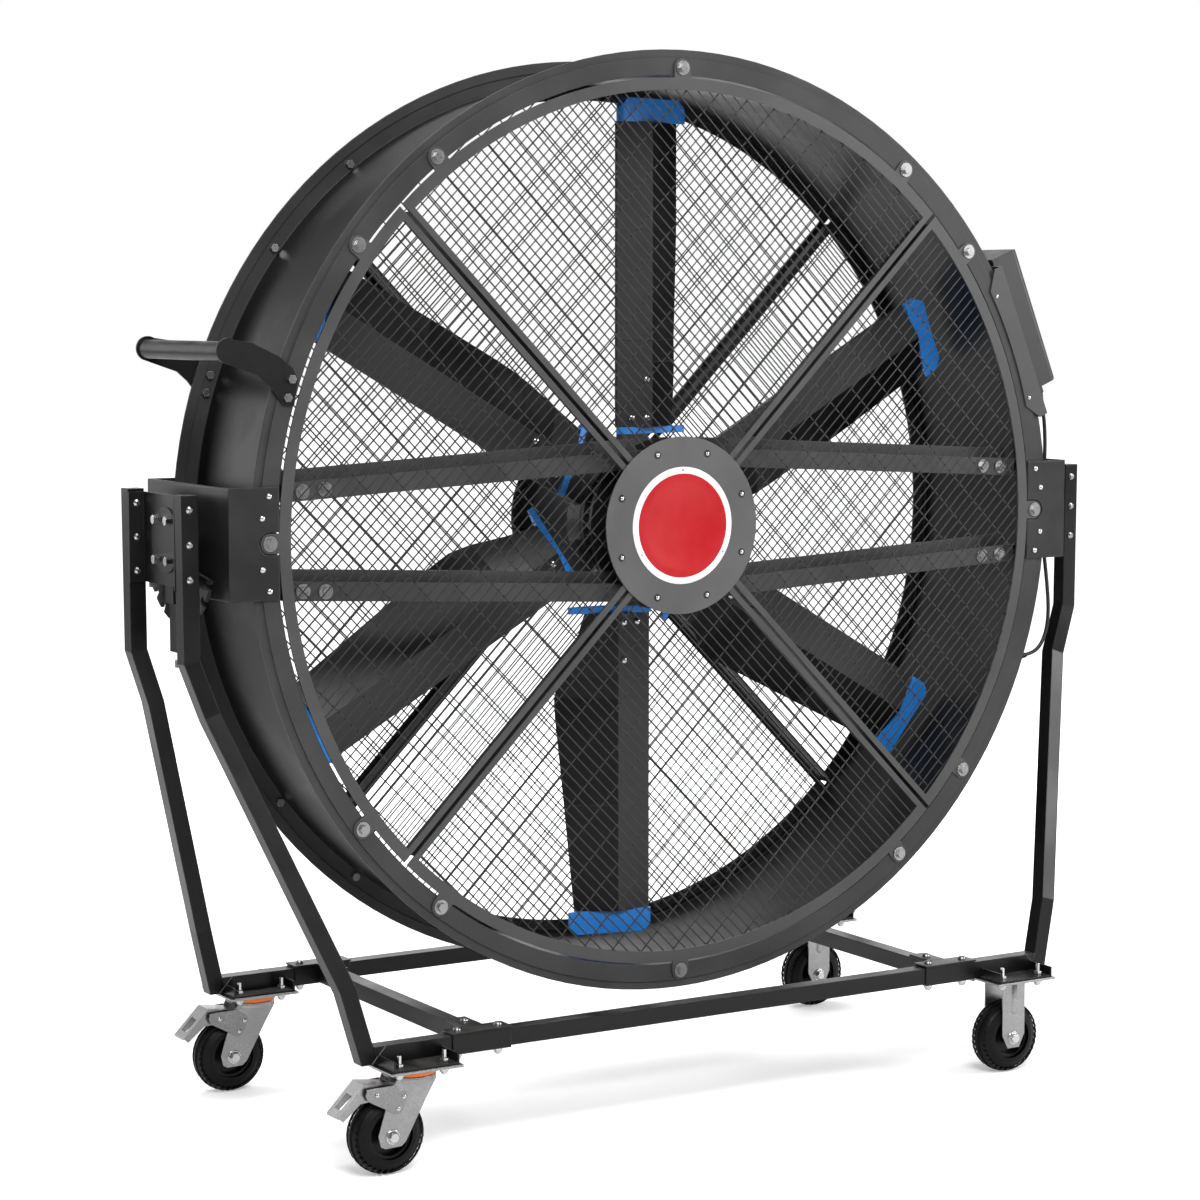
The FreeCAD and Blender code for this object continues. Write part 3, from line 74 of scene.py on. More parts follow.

# %% [markdown]
# ## Shader groups
# Four effects come back in nearly every finish, so each is a node group that is built once:
# the fine grain of powder coating, the bright worn line along sheet edges, a little dust on
# faces that look up, and the spangle of zinc plating. A fifth group marks a band of painted
# highlight along the blades, because its sum is long and would hide the rest of their finish.
# A group only gives out a mask, a value or a normal; the shader itself stays in the material.


# %% Helpers for node trees
def new_group(name, inputs, outputs):
    """A shader group with float or colour sockets; returns the tree and its two end nodes."""
    tree = bpy.data.node_groups.new(name, "ShaderNodeTree")
    for label, kind, value in inputs:
        socket = tree.interface.new_socket(label, in_out="INPUT", socket_type=kind)
        socket.default_value = value
    for label, kind in outputs:
        tree.interface.new_socket(label, in_out="OUTPUT", socket_type=kind)
    return tree, tree.nodes.new("NodeGroupInput"), tree.nodes.new("NodeGroupOutput")


def add(tree, kind, links=None, **values):
    """One node: values set its properties, links its inputs (a socket or a number)."""
    node = tree.nodes.new(kind)
    for key, value in values.items():
        setattr(node, key, value)
    for key, value in (links or {}).items():
        if isinstance(value, bpy.types.NodeSocket):
            tree.links.new(value, node.inputs[key])
        else:
            node.inputs[key].default_value = value
    return node


def maths(tree, operation, a, b=0.0, clamp=False):
    """A maths node's result socket."""
    node = add(tree, "ShaderNodeMath", {0: a, 1: b}, operation=operation, use_clamp=clamp)
    return node.outputs[0]


def remap(tree, value, low, high, to_low=0.0, to_high=1.0):
    """The value's range low..high stretched to to_low..to_high, with a smooth start and end."""
    node = add(
        tree,
        "ShaderNodeMapRange",
        {"Value": value, "From Min": low, "From Max": high, "To Min": to_low, "To Max": to_high},
        interpolation_type="SMOOTHSTEP",
    )
    return node.outputs["Result"]


def noise(tree, coords, scale, detail=2.0, roughness=0.5):
    """A noise pattern's value on the given coordinates."""
    node = add(
        tree,
        "ShaderNodeTexNoise",
        {"Vector": coords, "Scale": scale, "Detail": detail, "Roughness": roughness},
    )
    return node.outputs[0]


# %% The grain of powder coating
SPECKLE_SHARE = 0.5


def make_grain():
    """Orange-peel grain: a fine height, and slow patches for colour and gloss."""
    tree, start, end = new_group(
        "powder_grain",
        [("Scale", "NodeSocketFloat", 900.0)],
        [("Height", "NodeSocketFloat"), ("Patches", "NodeSocketFloat")],
    )
    coords = add(tree, "ShaderNodeTexCoord").outputs["Object"]
    fine = noise(tree, coords, scale=start.outputs["Scale"], detail=2.0, roughness=0.6)
    slow = noise(tree, coords, scale=6.0, detail=4.0, roughness=0.6)
    speckle = noise(tree, coords, scale=260.0, detail=1.0, roughness=0.5)
    height = maths(tree, "ADD", fine, maths(tree, "MULTIPLY", speckle, SPECKLE_SHARE))
    tree.links.new(height, end.inputs["Height"])
    tree.links.new(remap(tree, slow, low=0.3, high=0.7), end.inputs["Patches"])
    return tree


grain_group = make_grain()
print("group:", grain_group.name)


# %% Worn edges
def make_wear():
    """A mask along convex and concave edges, broken up by noise, and a softened normal."""
    tree, start, end = new_group(
        "edge_wear",
        [("Radius", "NodeSocketFloat", 0.0016)],
        [("Mask", "NodeSocketFloat"), ("Normal", "NodeSocketVector")],
    )
    coords = add(tree, "ShaderNodeTexCoord").outputs["Object"]
    soft = add(tree, "ShaderNodeBevel", {"Radius": start.outputs["Radius"]}, samples=4)
    true_normal = add(tree, "ShaderNodeNewGeometry").outputs["Normal"]
    dot = add(
        tree,
        "ShaderNodeVectorMath",
        {0: soft.outputs["Normal"], 1: true_normal},
        operation="DOT_PRODUCT",
    )
    edge = remap(tree, dot.outputs["Value"], low=0.995, high=0.80)
    chips = noise(tree, coords, scale=45.0, detail=3.0, roughness=0.7)
    broken = remap(tree, chips, low=0.35, high=0.65)
    tree.links.new(maths(tree, "MULTIPLY", edge, broken), end.inputs["Mask"])
    tree.links.new(soft.outputs["Normal"], end.inputs["Normal"])
    return tree


wear_group = make_wear()
print("group:", wear_group.name)


# %% Dust on faces that look up
def make_dust():
    """A mask that is strongest on level faces, in uneven drifts."""
    tree, start, end = new_group(
        "settled_dust",
        [("Amount", "NodeSocketFloat", 0.25)],
        [("Mask", "NodeSocketFloat")],
    )
    coords = add(tree, "ShaderNodeTexCoord").outputs["Object"]
    normal = add(tree, "ShaderNodeNewGeometry").outputs["Normal"]
    up = add(tree, "ShaderNodeSeparateXYZ", {0: normal}).outputs["Z"]
    level = remap(tree, up, low=0.35, high=1.0)
    clouds = noise(tree, coords, scale=14.0, detail=5.0, roughness=0.65)
    drift = remap(tree, clouds, low=0.3, high=0.75)
    mask = maths(tree, "MULTIPLY", maths(tree, "MULTIPLY", level, drift), start.outputs["Amount"])
    tree.links.new(mask, end.inputs["Mask"])
    return tree


dust_group = make_dust()
print("group:", dust_group.name)


# %% The spangle of zinc plating
CRYSTAL_SHARE = 0.35
CLOUD_SHARE = 0.65
LINE_STRETCH = (1.0, 1.0, 0.06)


def make_spangle():
    """Small flat crystals for tone and gloss, and fine rolling lines for the height."""
    tree, start, end = new_group(
        "zinc_spangle",
        [("Scale", "NodeSocketFloat", 160.0)],
        [("Tone", "NodeSocketFloat"), ("Height", "NodeSocketFloat")],
    )
    coords = add(tree, "ShaderNodeTexCoord").outputs["Object"]
    cells = add(
        tree,
        "ShaderNodeTexVoronoi",
        {"Vector": coords, "Scale": start.outputs["Scale"]},
    )
    grey = add(tree, "ShaderNodeSeparateColor", {0: cells.outputs["Color"]}).outputs[0]
    stretched = add(
        tree,
        "ShaderNodeMapping",
        {"Vector": coords, "Scale": LINE_STRETCH},
    ).outputs[0]
    lines = noise(tree, stretched, scale=700.0, detail=2.0, roughness=0.5)
    cloud = noise(tree, coords, scale=30.0, detail=3.0, roughness=0.6)
    crystals = maths(tree, "MULTIPLY", grey, CRYSTAL_SHARE)
    tone = maths(tree, "ADD", crystals, maths(tree, "MULTIPLY", cloud, CLOUD_SHARE))
    tree.links.new(tone, end.inputs["Tone"])
    tree.links.new(lines, end.inputs["Height"])
    return tree


spangle_group = make_spangle()
print("group:", spangle_group.name)


# %% The painted highlight along the blades
AXIS = 0.995
BLADE_COUNT = 6
HIGHLIGHT_PLACE = -0.010
HIGHLIGHT_HALF = 0.0446
HIGHLIGHT_FADE = 0.001


def make_painted_highlight():
    """A painted highlight: a band along the nose of each blade, standing in for the light it catches."""
    tree, _, end = new_group("blade_painted_highlight", [], [("Mask", "NodeSocketFloat")])
    coords = add(tree, "ShaderNodeTexCoord").outputs["Object"]
    split = add(tree, "ShaderNodeSeparateXYZ", {0: coords})
    across, level = split.outputs["X"], maths(tree, "SUBTRACT", split.outputs["Z"], AXIS)
    share = math.tau / BLADE_COUNT
    angle = maths(tree, "ADD", maths(tree, "ARCTAN2", across, level), math.tau + share / 2)
    angle = maths(tree, "SUBTRACT", maths(tree, "MODULO", angle, share), share / 2)
    squares = [maths(tree, "POWER", side, 2.0) for side in (across, level)]
    reach = maths(tree, "SQRT", maths(tree, "ADD", *squares))
    sideways = maths(tree, "MULTIPLY", reach, maths(tree, "SINE", angle))
    offset = maths(tree, "SUBTRACT", sideways, HIGHLIGHT_PLACE)
    beside = maths(tree, "SUBTRACT", maths(tree, "ABSOLUTE", offset), HIGHLIGHT_HALF)
    tree.links.new(remap(tree, beside, low=HIGHLIGHT_FADE, high=-HIGHLIGHT_FADE), end.inputs["Mask"])
    return tree


highlight_group = make_painted_highlight()
print("group:", highlight_group.name)


# %% [markdown]
# ## Finishes
# One helper makes every painted, moulded and rubber finish, because they differ only in colour,
# gloss, grain and wear. Bare metal has its own helper, since its tone comes from the plating.
# Two sheet parts get painted shade towards the middle of the drum, where little light reaches the
# paint, so the helper can also mix in a second, darker colour by the distance from the middle plane.

# %% Values of the finishes
WEAR_SHARE = 0.6
DUST_COLOUR = (0.30, 0.29, 0.27)
DUST_ROUGHNESS = 0.3
GLOSS_SPREAD = 0.05
GRAIN_RELIEF = 0.0004
# The soft edge of the painted shade near the middle plane of the drum.
SHADE_EDGE = 0.0005
PLATED_EDGE = 0.0009
PLATED_RELIEF = 0.0003
PLATED_DULL = 0.08
PLATED_BRIGHT = 0.06


# %% Helpers for materials
def use_group(tree, group, **values):
    """A group node in a material's tree with its inputs set."""
    node = tree.nodes.new("ShaderNodeGroup")
    node.node_tree = group
    for key, value in values.items():
        node.inputs[key].default_value = value
    return node


def mix_colour(tree, factor, a, b):
    """Colour a towards colour b by the factor; each may be a socket or a colour."""
    node = add(tree, "ShaderNodeMix", {"Factor": factor, 6: a, 7: b}, data_type="RGBA")
    return node.outputs[2]


def opaque(grey_or_rgb):
    """A grey value or three values as a colour."""
    if isinstance(grey_or_rgb, float):
        grey_or_rgb = (grey_or_rgb,) * 3
    return (*grey_or_rgb, 1.0)


def coated(
    name,
    dark,
    light,
    wear_and_highlight,
    gloss,
    grain=900.0,
    bump=0.12,
    edge=0.0016,
    dust=0.2,
    shade_depth=0.0,
    painted_shade=0.002,
    shine=0.4,
    highlight_band=None,
):
    """Paint, plastic or rubber: colour patches, worn edges, dust, uneven gloss and grain.

    Nearer the middle plane than the limit the colour is painted shade; a band paints a highlight strip.
    """
    material = bpy.data.materials.new(name)
    material.use_nodes = True
    tree = material.node_tree
    shader = tree.nodes["Principled BSDF"]
    texture = use_group(tree, grain_group, Scale=grain)
    wear = use_group(tree, wear_group, Radius=edge)
    drift = use_group(tree, dust_group, Amount=dust)
    base = mix_colour(tree, texture.outputs["Patches"], opaque(dark), opaque(light))
    scuffs = maths(tree, "MULTIPLY", wear.outputs["Mask"], WEAR_SHARE)
    base = mix_colour(tree, scuffs, base, opaque(wear_and_highlight))
    base = mix_colour(tree, drift.outputs["Mask"], base, opaque(DUST_COLOUR))
    # Painted shade: nearer the middle plane than the limit, a darker colour stands in for shade.
    if shade_depth:
        spot = add(tree, "ShaderNodeTexCoord").outputs["Object"]
        depth = maths(tree, "ABSOLUTE", add(tree, "ShaderNodeSeparateXYZ", {0: spot}).outputs["Y"])
        unshaded = remap(tree, depth, low=shade_depth - SHADE_EDGE, high=shade_depth)
        base = mix_colour(tree, unshaded, opaque(painted_shade), base)
    patches = texture.outputs["Patches"]
    rough = remap(tree, patches, 0.0, 1.0, gloss - GLOSS_SPREAD, gloss + GLOSS_SPREAD)
    dusty = maths(tree, "MULTIPLY", drift.outputs["Mask"], DUST_ROUGHNESS)
    rough = maths(tree, "ADD", rough, dusty, clamp=True)
    # Painted highlight: a band along the blade's nose takes the lighter wear colour.
    if highlight_band:
        base = mix_colour(tree, use_group(tree, highlight_band).outputs["Mask"], base, opaque(wear_and_highlight))
    relief = add(
        tree,
        "ShaderNodeBump",
        {
            "Height": texture.outputs["Height"],
            "Normal": wear.outputs["Normal"],
            "Strength": bump,
            "Distance": GRAIN_RELIEF,
        },
    )
    tree.links.new(base, shader.inputs["Base Color"])
    tree.links.new(rough, shader.inputs["Roughness"])
    tree.links.new(relief.outputs[0], shader.inputs["Normal"])
    shader.inputs["Specular IOR Level"].default_value = shine
    return material


def plated(name, dark, light, gloss, scale=160.0, bump=0.05):
    """Zinc-plated steel: spangled tone, uneven gloss and fine rolling lines."""
    material = bpy.data.materials.new(name)
    material.use_nodes = True
    tree = material.node_tree
    shader = tree.nodes["Principled BSDF"]
    spangle = use_group(tree, spangle_group, Scale=scale)
    wear = use_group(tree, wear_group, Radius=PLATED_EDGE)
    base = mix_colour(tree, spangle.outputs["Tone"], opaque(dark), opaque(light))
    tone = spangle.outputs["Tone"]
    rough = remap(tree, tone, 0.2, 0.8, gloss + PLATED_DULL, gloss - PLATED_BRIGHT)
    relief = add(
        tree,
        "ShaderNodeBump",
        {
            "Height": spangle.outputs["Height"],
            "Normal": wear.outputs["Normal"],
            "Strength": bump,
            "Distance": PLATED_RELIEF,
        },
    )
    tree.links.new(base, shader.inputs["Base Color"])
    tree.links.new(rough, shader.inputs["Roughness"])
    tree.links.new(relief.outputs[0], shader.inputs["Normal"])
    shader.inputs["Metallic"].default_value = 1.0
    return material


# %% The finishes
frame_black = coated("frame_black", 0.004, 0.006, 0.06, 0.36, shine=0.26)
# The drum's wall is painted darker than its flanges, as shade towards the middle plane.
drum_black = coated("drum_black", 0.028, 0.038, 0.09, 0.40, shine=0.22, shade_depth=0.149)
tube_black = coated("tube_black", 0.003, 0.005, 0.05, 0.34, edge=0.0030, shine=0.24)
bent_black = coated("bent_black", 0.012, 0.018, 0.06, 0.36, edge=0.0050, shine=0.30)
# The guard parts nearest the middle plane are painted darker, as shade.
guard_black = coated(
    "guard_black",
    0.036,
    0.046,
    0.10,
    0.42,
    grain=1400.0,
    edge=0.0005,
    dust=0.08,
    shade_depth=0.1568,
    painted_shade=0.010,
)
# The blades get a painted highlight: a lighter band along the nose of each blade.
blade_black = coated("blade_black", 0.003, 0.005, 0.030, 0.36, shine=0.24, highlight_band=highlight_group)
arm_grey = coated("arm_grey", 0.030, 0.042, 0.12, 0.42)
plate_grey = coated("plate_grey", 0.060, 0.075, 0.18, 0.44)
blue_caps = coated("blue_caps", (0.016, 0.190, 0.62), (0.020, 0.220, 0.70), (0.06, 0.30, 0.72), 0.38)
tyre = coated("tyre", 0.0012, 0.0022, 0.014, 0.46, grain=420.0, bump=0.30, dust=0.04, shine=0.16)
wheel_rim = coated("wheel_rim", 0.0015, 0.0030, 0.03, 0.30, grain=600.0, dust=0.04, shine=0.2)
seal_orange = coated("seal_orange", (0.62, 0.12, 0.02), (0.75, 0.17, 0.03), (0.8, 0.3, 0.1), 0.45)
cable_black = coated("cable_black", 0.006, 0.010, 0.02, 0.5, grain=700.0, edge=0.0005)
dial_black = coated("dial_black", 0.008, 0.012, 0.05, 0.35, grain=700.0)
motor_grey = coated("motor_grey", 0.012, 0.020, 0.08, 0.5, grain=350.0, bump=0.2)
box_grey = coated("box_grey", 0.014, 0.020, 0.08, 0.42, grain=700.0)
sign_white = coated("sign_white", 0.66, 0.72, 0.60, 0.30, grain=300.0, bump=0.04, dust=0.05)
sign_red = coated("sign_red", (0.34, 0.005, 0.008), (0.38, 0.006, 0.010), (0.5, 0.03, 0.03), 0.30, bump=0.04)
mark_white = coated("mark_white", 0.60, 0.70, 0.50, 0.40, grain=300.0, bump=0.04, dust=0.05)
zinc = plated("zinc", 0.25, 0.34, 0.32, scale=420.0)
# A darker copy of the zinc: painted shade for the brake brackets.
zinc_painted_shade = plated("zinc_painted_shade", 0.20, 0.28, 0.30, scale=420.0)
bright_bolt = plated("bright_bolt", 0.46, 0.60, 0.22, scale=500.0)
dark_bolt = plated("dark_bolt", 0.20, 0.34, 0.28, scale=500.0)
print("finishes made")

# %% [markdown]
# The construction nodes keep their own shapes, and only their material slots change.

# %% Finish for each construction node
FINISHES = {
    drum_black: "drum_shell",
    frame_black: (
        "arm_wall_feet tilt_sector pivot_saddles pivot_bearings "
        "tilt_lock_bracket handle_plates handle_grip caster_trays motor_plate"
    ),
    arm_grey: "motor_arms control_box_bracket",
    tube_black: (
        "front_left_leg front_right_leg rear_left_leg rear_right_leg base_bars base_sleeves cross_tubes"
    ),
    bent_black: "left_drum_yoke right_drum_yoke",
    plate_grey: "hub_plates",
    guard_black: (
        "front_top_guard front_left_guard front_bottom_guard front_right_guard "
        "rear_top_guard rear_left_guard rear_bottom_guard rear_right_guard"
    ),
    blade_black: "fan_blades rotor_hub",
    blue_caps: "blade_tip_caps blade_root_collars",
    bright_bolt: "blade_bolts stand_bolts",
    zinc: (
        "drum_bolts rotor_shaft tilt_lock_plunger front_left_fork rear_left_fork front_left_brake_pedal "
        "rear_left_brake_pedal swivel_heads rigid_forks"
    ),
    tyre: "front_left_tyre front_right_tyre rear_left_tyre rear_right_tyre",
    wheel_rim: "front_left_rim front_right_rim rear_left_rim rear_right_rim",
    seal_orange: "swivel_seals",
    cable_black: "motor_cable cable_glands",
    dial_black: "speed_dial",
    motor_grey: "motor_housing",
    box_grey: "control_box control_box_lid",
}
finished = 0
for finish, names in FINISHES.items():
    for name in names.split():
        for material_slot in nodes[name].material_slots:
            material_slot.material = finish
        finished += 1
print("nodes with a finish:", finished)

# %% [markdown]
# ## The motor cable
# A black rubber cable leaves the control box, hangs in a loose arc along the right-hand side of
# the drum and goes in through the wall. A curve is the natural way to draw it: its points are
# the route itself, and the bevel gives it its thickness.

# %% Motor cable
CABLE_ROUTE = [
    (0.8091, -0.1200, 1.2069),
    (0.8207, -0.1200, 1.1743),
    (0.8258, -0.1200, 1.1231),
    (0.8246, -0.1200, 1.0687),
    (0.8207, -0.1200, 1.0143),
    (0.8220, -0.1200, 0.9599),
    (0.8271, -0.1200, 0.9055),
    (0.8348, -0.1200, 0.8543),
    (0.8399, -0.1200, 0.8031),
    (0.8348, -0.1200, 0.7615),
    (0.8182, -0.1200, 0.7327),
    (0.7926, -0.1200, 0.7218),
    (0.7657, -0.1200, 0.7205),
]
CABLE_THICK = 0.007

cable_data = bpy.data.curves.new("motor_cable_curve", "CURVE")
cable_data.dimensions = "3D"
cable_spline = cable_data.splines.new("NURBS")
cable_spline.points.add(len(CABLE_ROUTE) - 1)
for point, place in zip(cable_spline.points, CABLE_ROUTE):
    point.co = (*place, 1.0)
cable_spline.order_u = 3
cable_spline.use_endpoint_u = True
cable_spline.resolution_u = 8
cable_data.bevel_depth = CABLE_THICK / 2
cable_data.bevel_resolution = 4
cable_data.use_fill_caps = True
cable_data.materials.append(cable_black)
cable = bpy.data.objects.new("motor_cable_visual", cable_data)
scene.collection.objects.link(cable)
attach(cable, "drum")
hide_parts("motor_cable")
print("cable points:", len(CABLE_ROUTE))

# %% [markdown]
# ## Tools for small pieces
# Most small pieces of a machine are turned on a lathe or pressed many times from one tool. In
# Blender a lathe is the spin operator: a few profile points go once round an axis. A pressed
# piece is made once as a small mesh and then stamped at each place.


# %% Helpers for turned and stamped pieces
def turn(profile, steps):
    """A form turned about its Z axis from (radius, height) points."""
    form = bmesh.new()
    ring = [form.verts.new((radius, 0.0, height)) for radius, height in profile]
    edges = [form.edges.new(pair) for pair in zip(ring, ring[1:])]
    bmesh.ops.spin(
        form,
        geom=ring + edges,
        cent=(0.0, 0.0, 0.0),
        axis=(0.0, 0.0, 1.0),
        angle=math.tau,
        steps=steps,
        use_merge=True,
    )
    bmesh.ops.remove_doubles(form, verts=form.verts, dist=1e-6)
    return form


def soften(form, edge):
    """All edges of a form broken by a narrow flat."""
    bmesh.ops.bevel(
        form,
        geom=form.edges,
        offset=edge,
        affect="EDGES",
        segments=1,
        profile=0.5,
        material=-1,
    )


def block(width, depth, height, edge):
    """A box standing on its local XY plane with softened edges."""
    form = bmesh.new()
    bmesh.ops.create_cube(form, size=1.0)
    bmesh.ops.scale(form, vec=(width, depth, height), verts=form.verts)
    bmesh.ops.translate(form, vec=(0.0, 0.0, height / 2), verts=form.verts)
    soften(form, edge)
    return form


def facing(spot, direction, spin=0.0):
    """A placement that turns local Z to a direction at a spot."""
    turned = Vector(direction).to_track_quat("Z", "Y").to_matrix().to_4x4()
    return Matrix.Translation(spot) @ turned @ Matrix.Rotation(spin, 4, "Z")


def stamp(form, places):
    """Copies of one small form at several placements, as one form."""
    sample = bpy.data.meshes.new("sample")
    form.to_mesh(sample)
    form.free()
    many = bmesh.new()
    for place in places:
        known = len(many.verts)
        many.from_mesh(sample)
        many.verts.ensure_lookup_table()
        bmesh.ops.transform(many, matrix=place, verts=many.verts[known:])
    bpy.data.meshes.remove(sample)
    return many


def gather(forms):
    """Several forms as one."""
    whole = bmesh.new()
    for form in forms:
        part = bpy.data.meshes.new("part")
        form.to_mesh(part)
        form.free()
        whole.from_mesh(part)
        bpy.data.meshes.remove(part)
    return whole


def piece(name, form, finish, body, sharp=35.0):
    """A finished object from a form: outward faces, soft shading, riding on a body."""
    bmesh.ops.recalc_face_normals(form, faces=form.faces)
    mesh = bpy.data.meshes.new(name)
    form.to_mesh(mesh)
    form.free()
    mesh.shade_smooth()
    mesh.set_sharp_from_angle(angle=math.radians(sharp))
    mesh.materials.append(finish)
    thing = bpy.data.objects.new(name, mesh)
    scene.collection.objects.link(thing)
    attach(thing, body)
    print("piece:", name, len(mesh.polygons), "faces")
    return thing


# %% [markdown]
# ## Strain reliefs
# Where the cable leaves the box and where it enters the drum, a soft tapered boot keeps it from
# kinking. Each boot is a turned form with four ribs that narrows from the gland to the cable.

# %% Strain reliefs
BOOT_FOOT = 0.0078
BOOT_TIP = 0.0042
BOOT_LENGTH = 0.022
BOOT_RIBS = 4


def boot_profile():
    """Ribbed taper from the gland to the cable."""
    points = [(0.0, 0.0)]
    for k in range(BOOT_RIBS):
        for share, swell in ((0.0, 1.0), (0.55, 0.97), (0.7, 0.82), (0.9, 0.82)):
            along = (k + share) / BOOT_RIBS
            radius = BOOT_FOOT + (BOOT_TIP - BOOT_FOOT) * along
            points.append((max(radius * swell, CABLE_THICK / 2), along * BOOT_LENGTH))
    return points + [(CABLE_THICK / 2, BOOT_LENGTH)]


def boot_place(end, inner):
    """A boot stands on the cable's end and points along it."""
    return facing(Vector(end), Vector(inner) - Vector(end))


boots = piece(
    "cable_boots",
    stamp(
        turn(boot_profile(), 20),
        [boot_place(CABLE_ROUTE[0], CABLE_ROUTE[1]), boot_place(CABLE_ROUTE[-1], CABLE_ROUTE[-2])],
    ),
    cable_black,
    "drum",
)

# %% [markdown]
# ## Screws of the sheet-metal parts
# The hub plates, the drum yokes and the control box are held by small screws with rounded heads,
# those of the hub plates on black washers. Their places follow the plates: a circle on the hub
# plates, a shallow bow on the yokes. One turned head is stamped at all places of a kind, which
# is quicker than modelling each.

# %% Screws
FRONT = Vector((0.0, -1.0, 0.0))
REAR = Vector((0.0, 1.0, 0.0))
HUB_FACE = 0.162
HUB_CIRCLE = 0.131
HUB_SCREWS = 8
YOKE_FACE = 0.160
YOKE_SCREWS = ((0.771, 0.075), (0.783, 0.0405))
BRACKET_FACE = 0.159
BRACKET_SCREWS = ((0.676, 1.384), (0.754, 1.200))
SCREW_HEAD = (
    (0.0, 0.0038), (0.0022, 0.0036), (0.0042, 0.0026), (0.0052, 0.0010), (0.0053, -0.0004),
)
WASHER = ((0.0, 0.0008), (0.0062, 0.0008), (0.0067, -0.0003))
SMALL_HEAD = ((0.0, 0.0026), (0.0018, 0.0025), (0.0034, 0.0016), (0.0040, -0.0004))


def both_faces(x, z, face):
    """The same place on the front and on the rear face of the drum."""
    return [facing((x, -face, z), FRONT), facing((x, face, z), REAR)]


hub_places = []
for k in range(HUB_SCREWS):
    angle = math.tau * (k + 0.5) / HUB_SCREWS
    x, rise = HUB_CIRCLE * math.cos(angle), HUB_CIRCLE * math.sin(angle)
    hub_places += both_faces(x, AXIS + rise, HUB_FACE)
piece("hub_screws", stamp(turn(SMALL_HEAD, 12), hub_places), bright_bolt, "drum")
piece("hub_washers", stamp(turn(WASHER, 20), hub_places), dial_black, "drum")

yoke_places = []
for x, rise in YOKE_SCREWS:
    for side in (-1, 1):
        for level in (-1, 1):
            yoke_places += both_faces(side * x, AXIS + level * rise, YOKE_FACE)
piece("yoke_screws", stamp(turn(SCREW_HEAD, 14), yoke_places), bright_bolt, "drum")

bracket_places = []
for x, z in BRACKET_SCREWS:
    bracket_places += both_faces(x, z, BRACKET_FACE)
piece("bracket_screws", stamp(turn(SMALL_HEAD, 12), bracket_places), bright_bolt, "drum")

# %% [markdown]
# ## The round plate on the hub
# A thin enamelled disc sits in the middle of the front guard. It is left plain here: a white
# rim and a red field with a shallow dish, each turned once round, and three small rivets.

# %% Hub disc
DISC_RIM = 0.100
DISC_FIELD = 0.089
DISC_THICK = 0.0014
DISC_LAP = 0.001
DISC_STEPS = 96
RIVET_CIRCLE = 0.0945
RIVET_ANGLES = (90.0, 210.0, 330.0)
RIVET_HEAD = ((0.0, 0.0012), (0.0010, 0.0011), (0.0018, 0.0006), (0.0020, -0.0002))
disc_place = [facing((0.0, -HUB_FACE, AXIS), FRONT)]
rim_profile = (
    (DISC_FIELD - DISC_LAP, 0.0),
    (DISC_FIELD - DISC_LAP, DISC_THICK),
    (DISC_RIM - DISC_LAP, DISC_THICK),
    (DISC_RIM, DISC_THICK * 0.4),
    (DISC_RIM, 0.0),
)
field_profile = (
    (0.0, DISC_THICK * 0.6),
    (DISC_FIELD * 0.78, DISC_THICK * 0.7),
    (DISC_FIELD * 0.82, DISC_THICK * 1.2),
    (DISC_FIELD - 0.0006, DISC_THICK * 1.2),
    (DISC_FIELD, DISC_THICK * 0.9),
    (DISC_FIELD, 0.0),
)
rivet_places = []
for degrees in RIVET_ANGLES:
    angle = math.radians(degrees)
    x, rise = RIVET_CIRCLE * math.cos(angle), RIVET_CIRCLE * math.sin(angle)
    rivet_places.append(facing((x, -HUB_FACE - DISC_THICK, AXIS + rise), FRONT))
disc_rim = stamp(turn(rim_profile, DISC_STEPS), disc_place)
disc_field = stamp(turn(field_profile, DISC_STEPS), disc_place)
piece("hub_disc_rim", disc_rim, sign_white, "drum")
piece("hub_disc_field", disc_field, sign_red, "drum")
piece("hub_disc_rivets", stamp(turn(RIVET_HEAD, 10), rivet_places), dark_bolt, "drum")

# %% [markdown]
# ## Rear lip
# Between the rear guard and the drum's wall a narrow folded lip closes the gap, so that no
# light shows there. It is one thin turned ring just inside the guard.

# %% Rear lip
LIP_INNER = 0.7495
LIP_OUTER = 0.7575
LIP_PLACE = 0.1545
LIP_SHEET = 0.0012
LIP_STEPS = 160
lip_profile = (
    (LIP_INNER, 0.0),
    (LIP_OUTER, 0.0),
    (LIP_OUTER, -LIP_SHEET),
    (LIP_INNER, -LIP_SHEET),
    (LIP_INNER, 0.0),
)
lip = stamp(turn(lip_profile, LIP_STEPS), [facing((0.0, LIP_PLACE, AXIS), REAR)])
piece("rear_lip", lip, frame_black, "drum")

# %% [markdown]
# ## Tyres
# The casters run on black rubber tyres with a round crown, a groove in each sidewall and three
# rows of tread blocks. The body is turned from a superellipse, and one bevelled block is stamped
# round it: slanted blocks on the shoulders, straight ones in the middle.

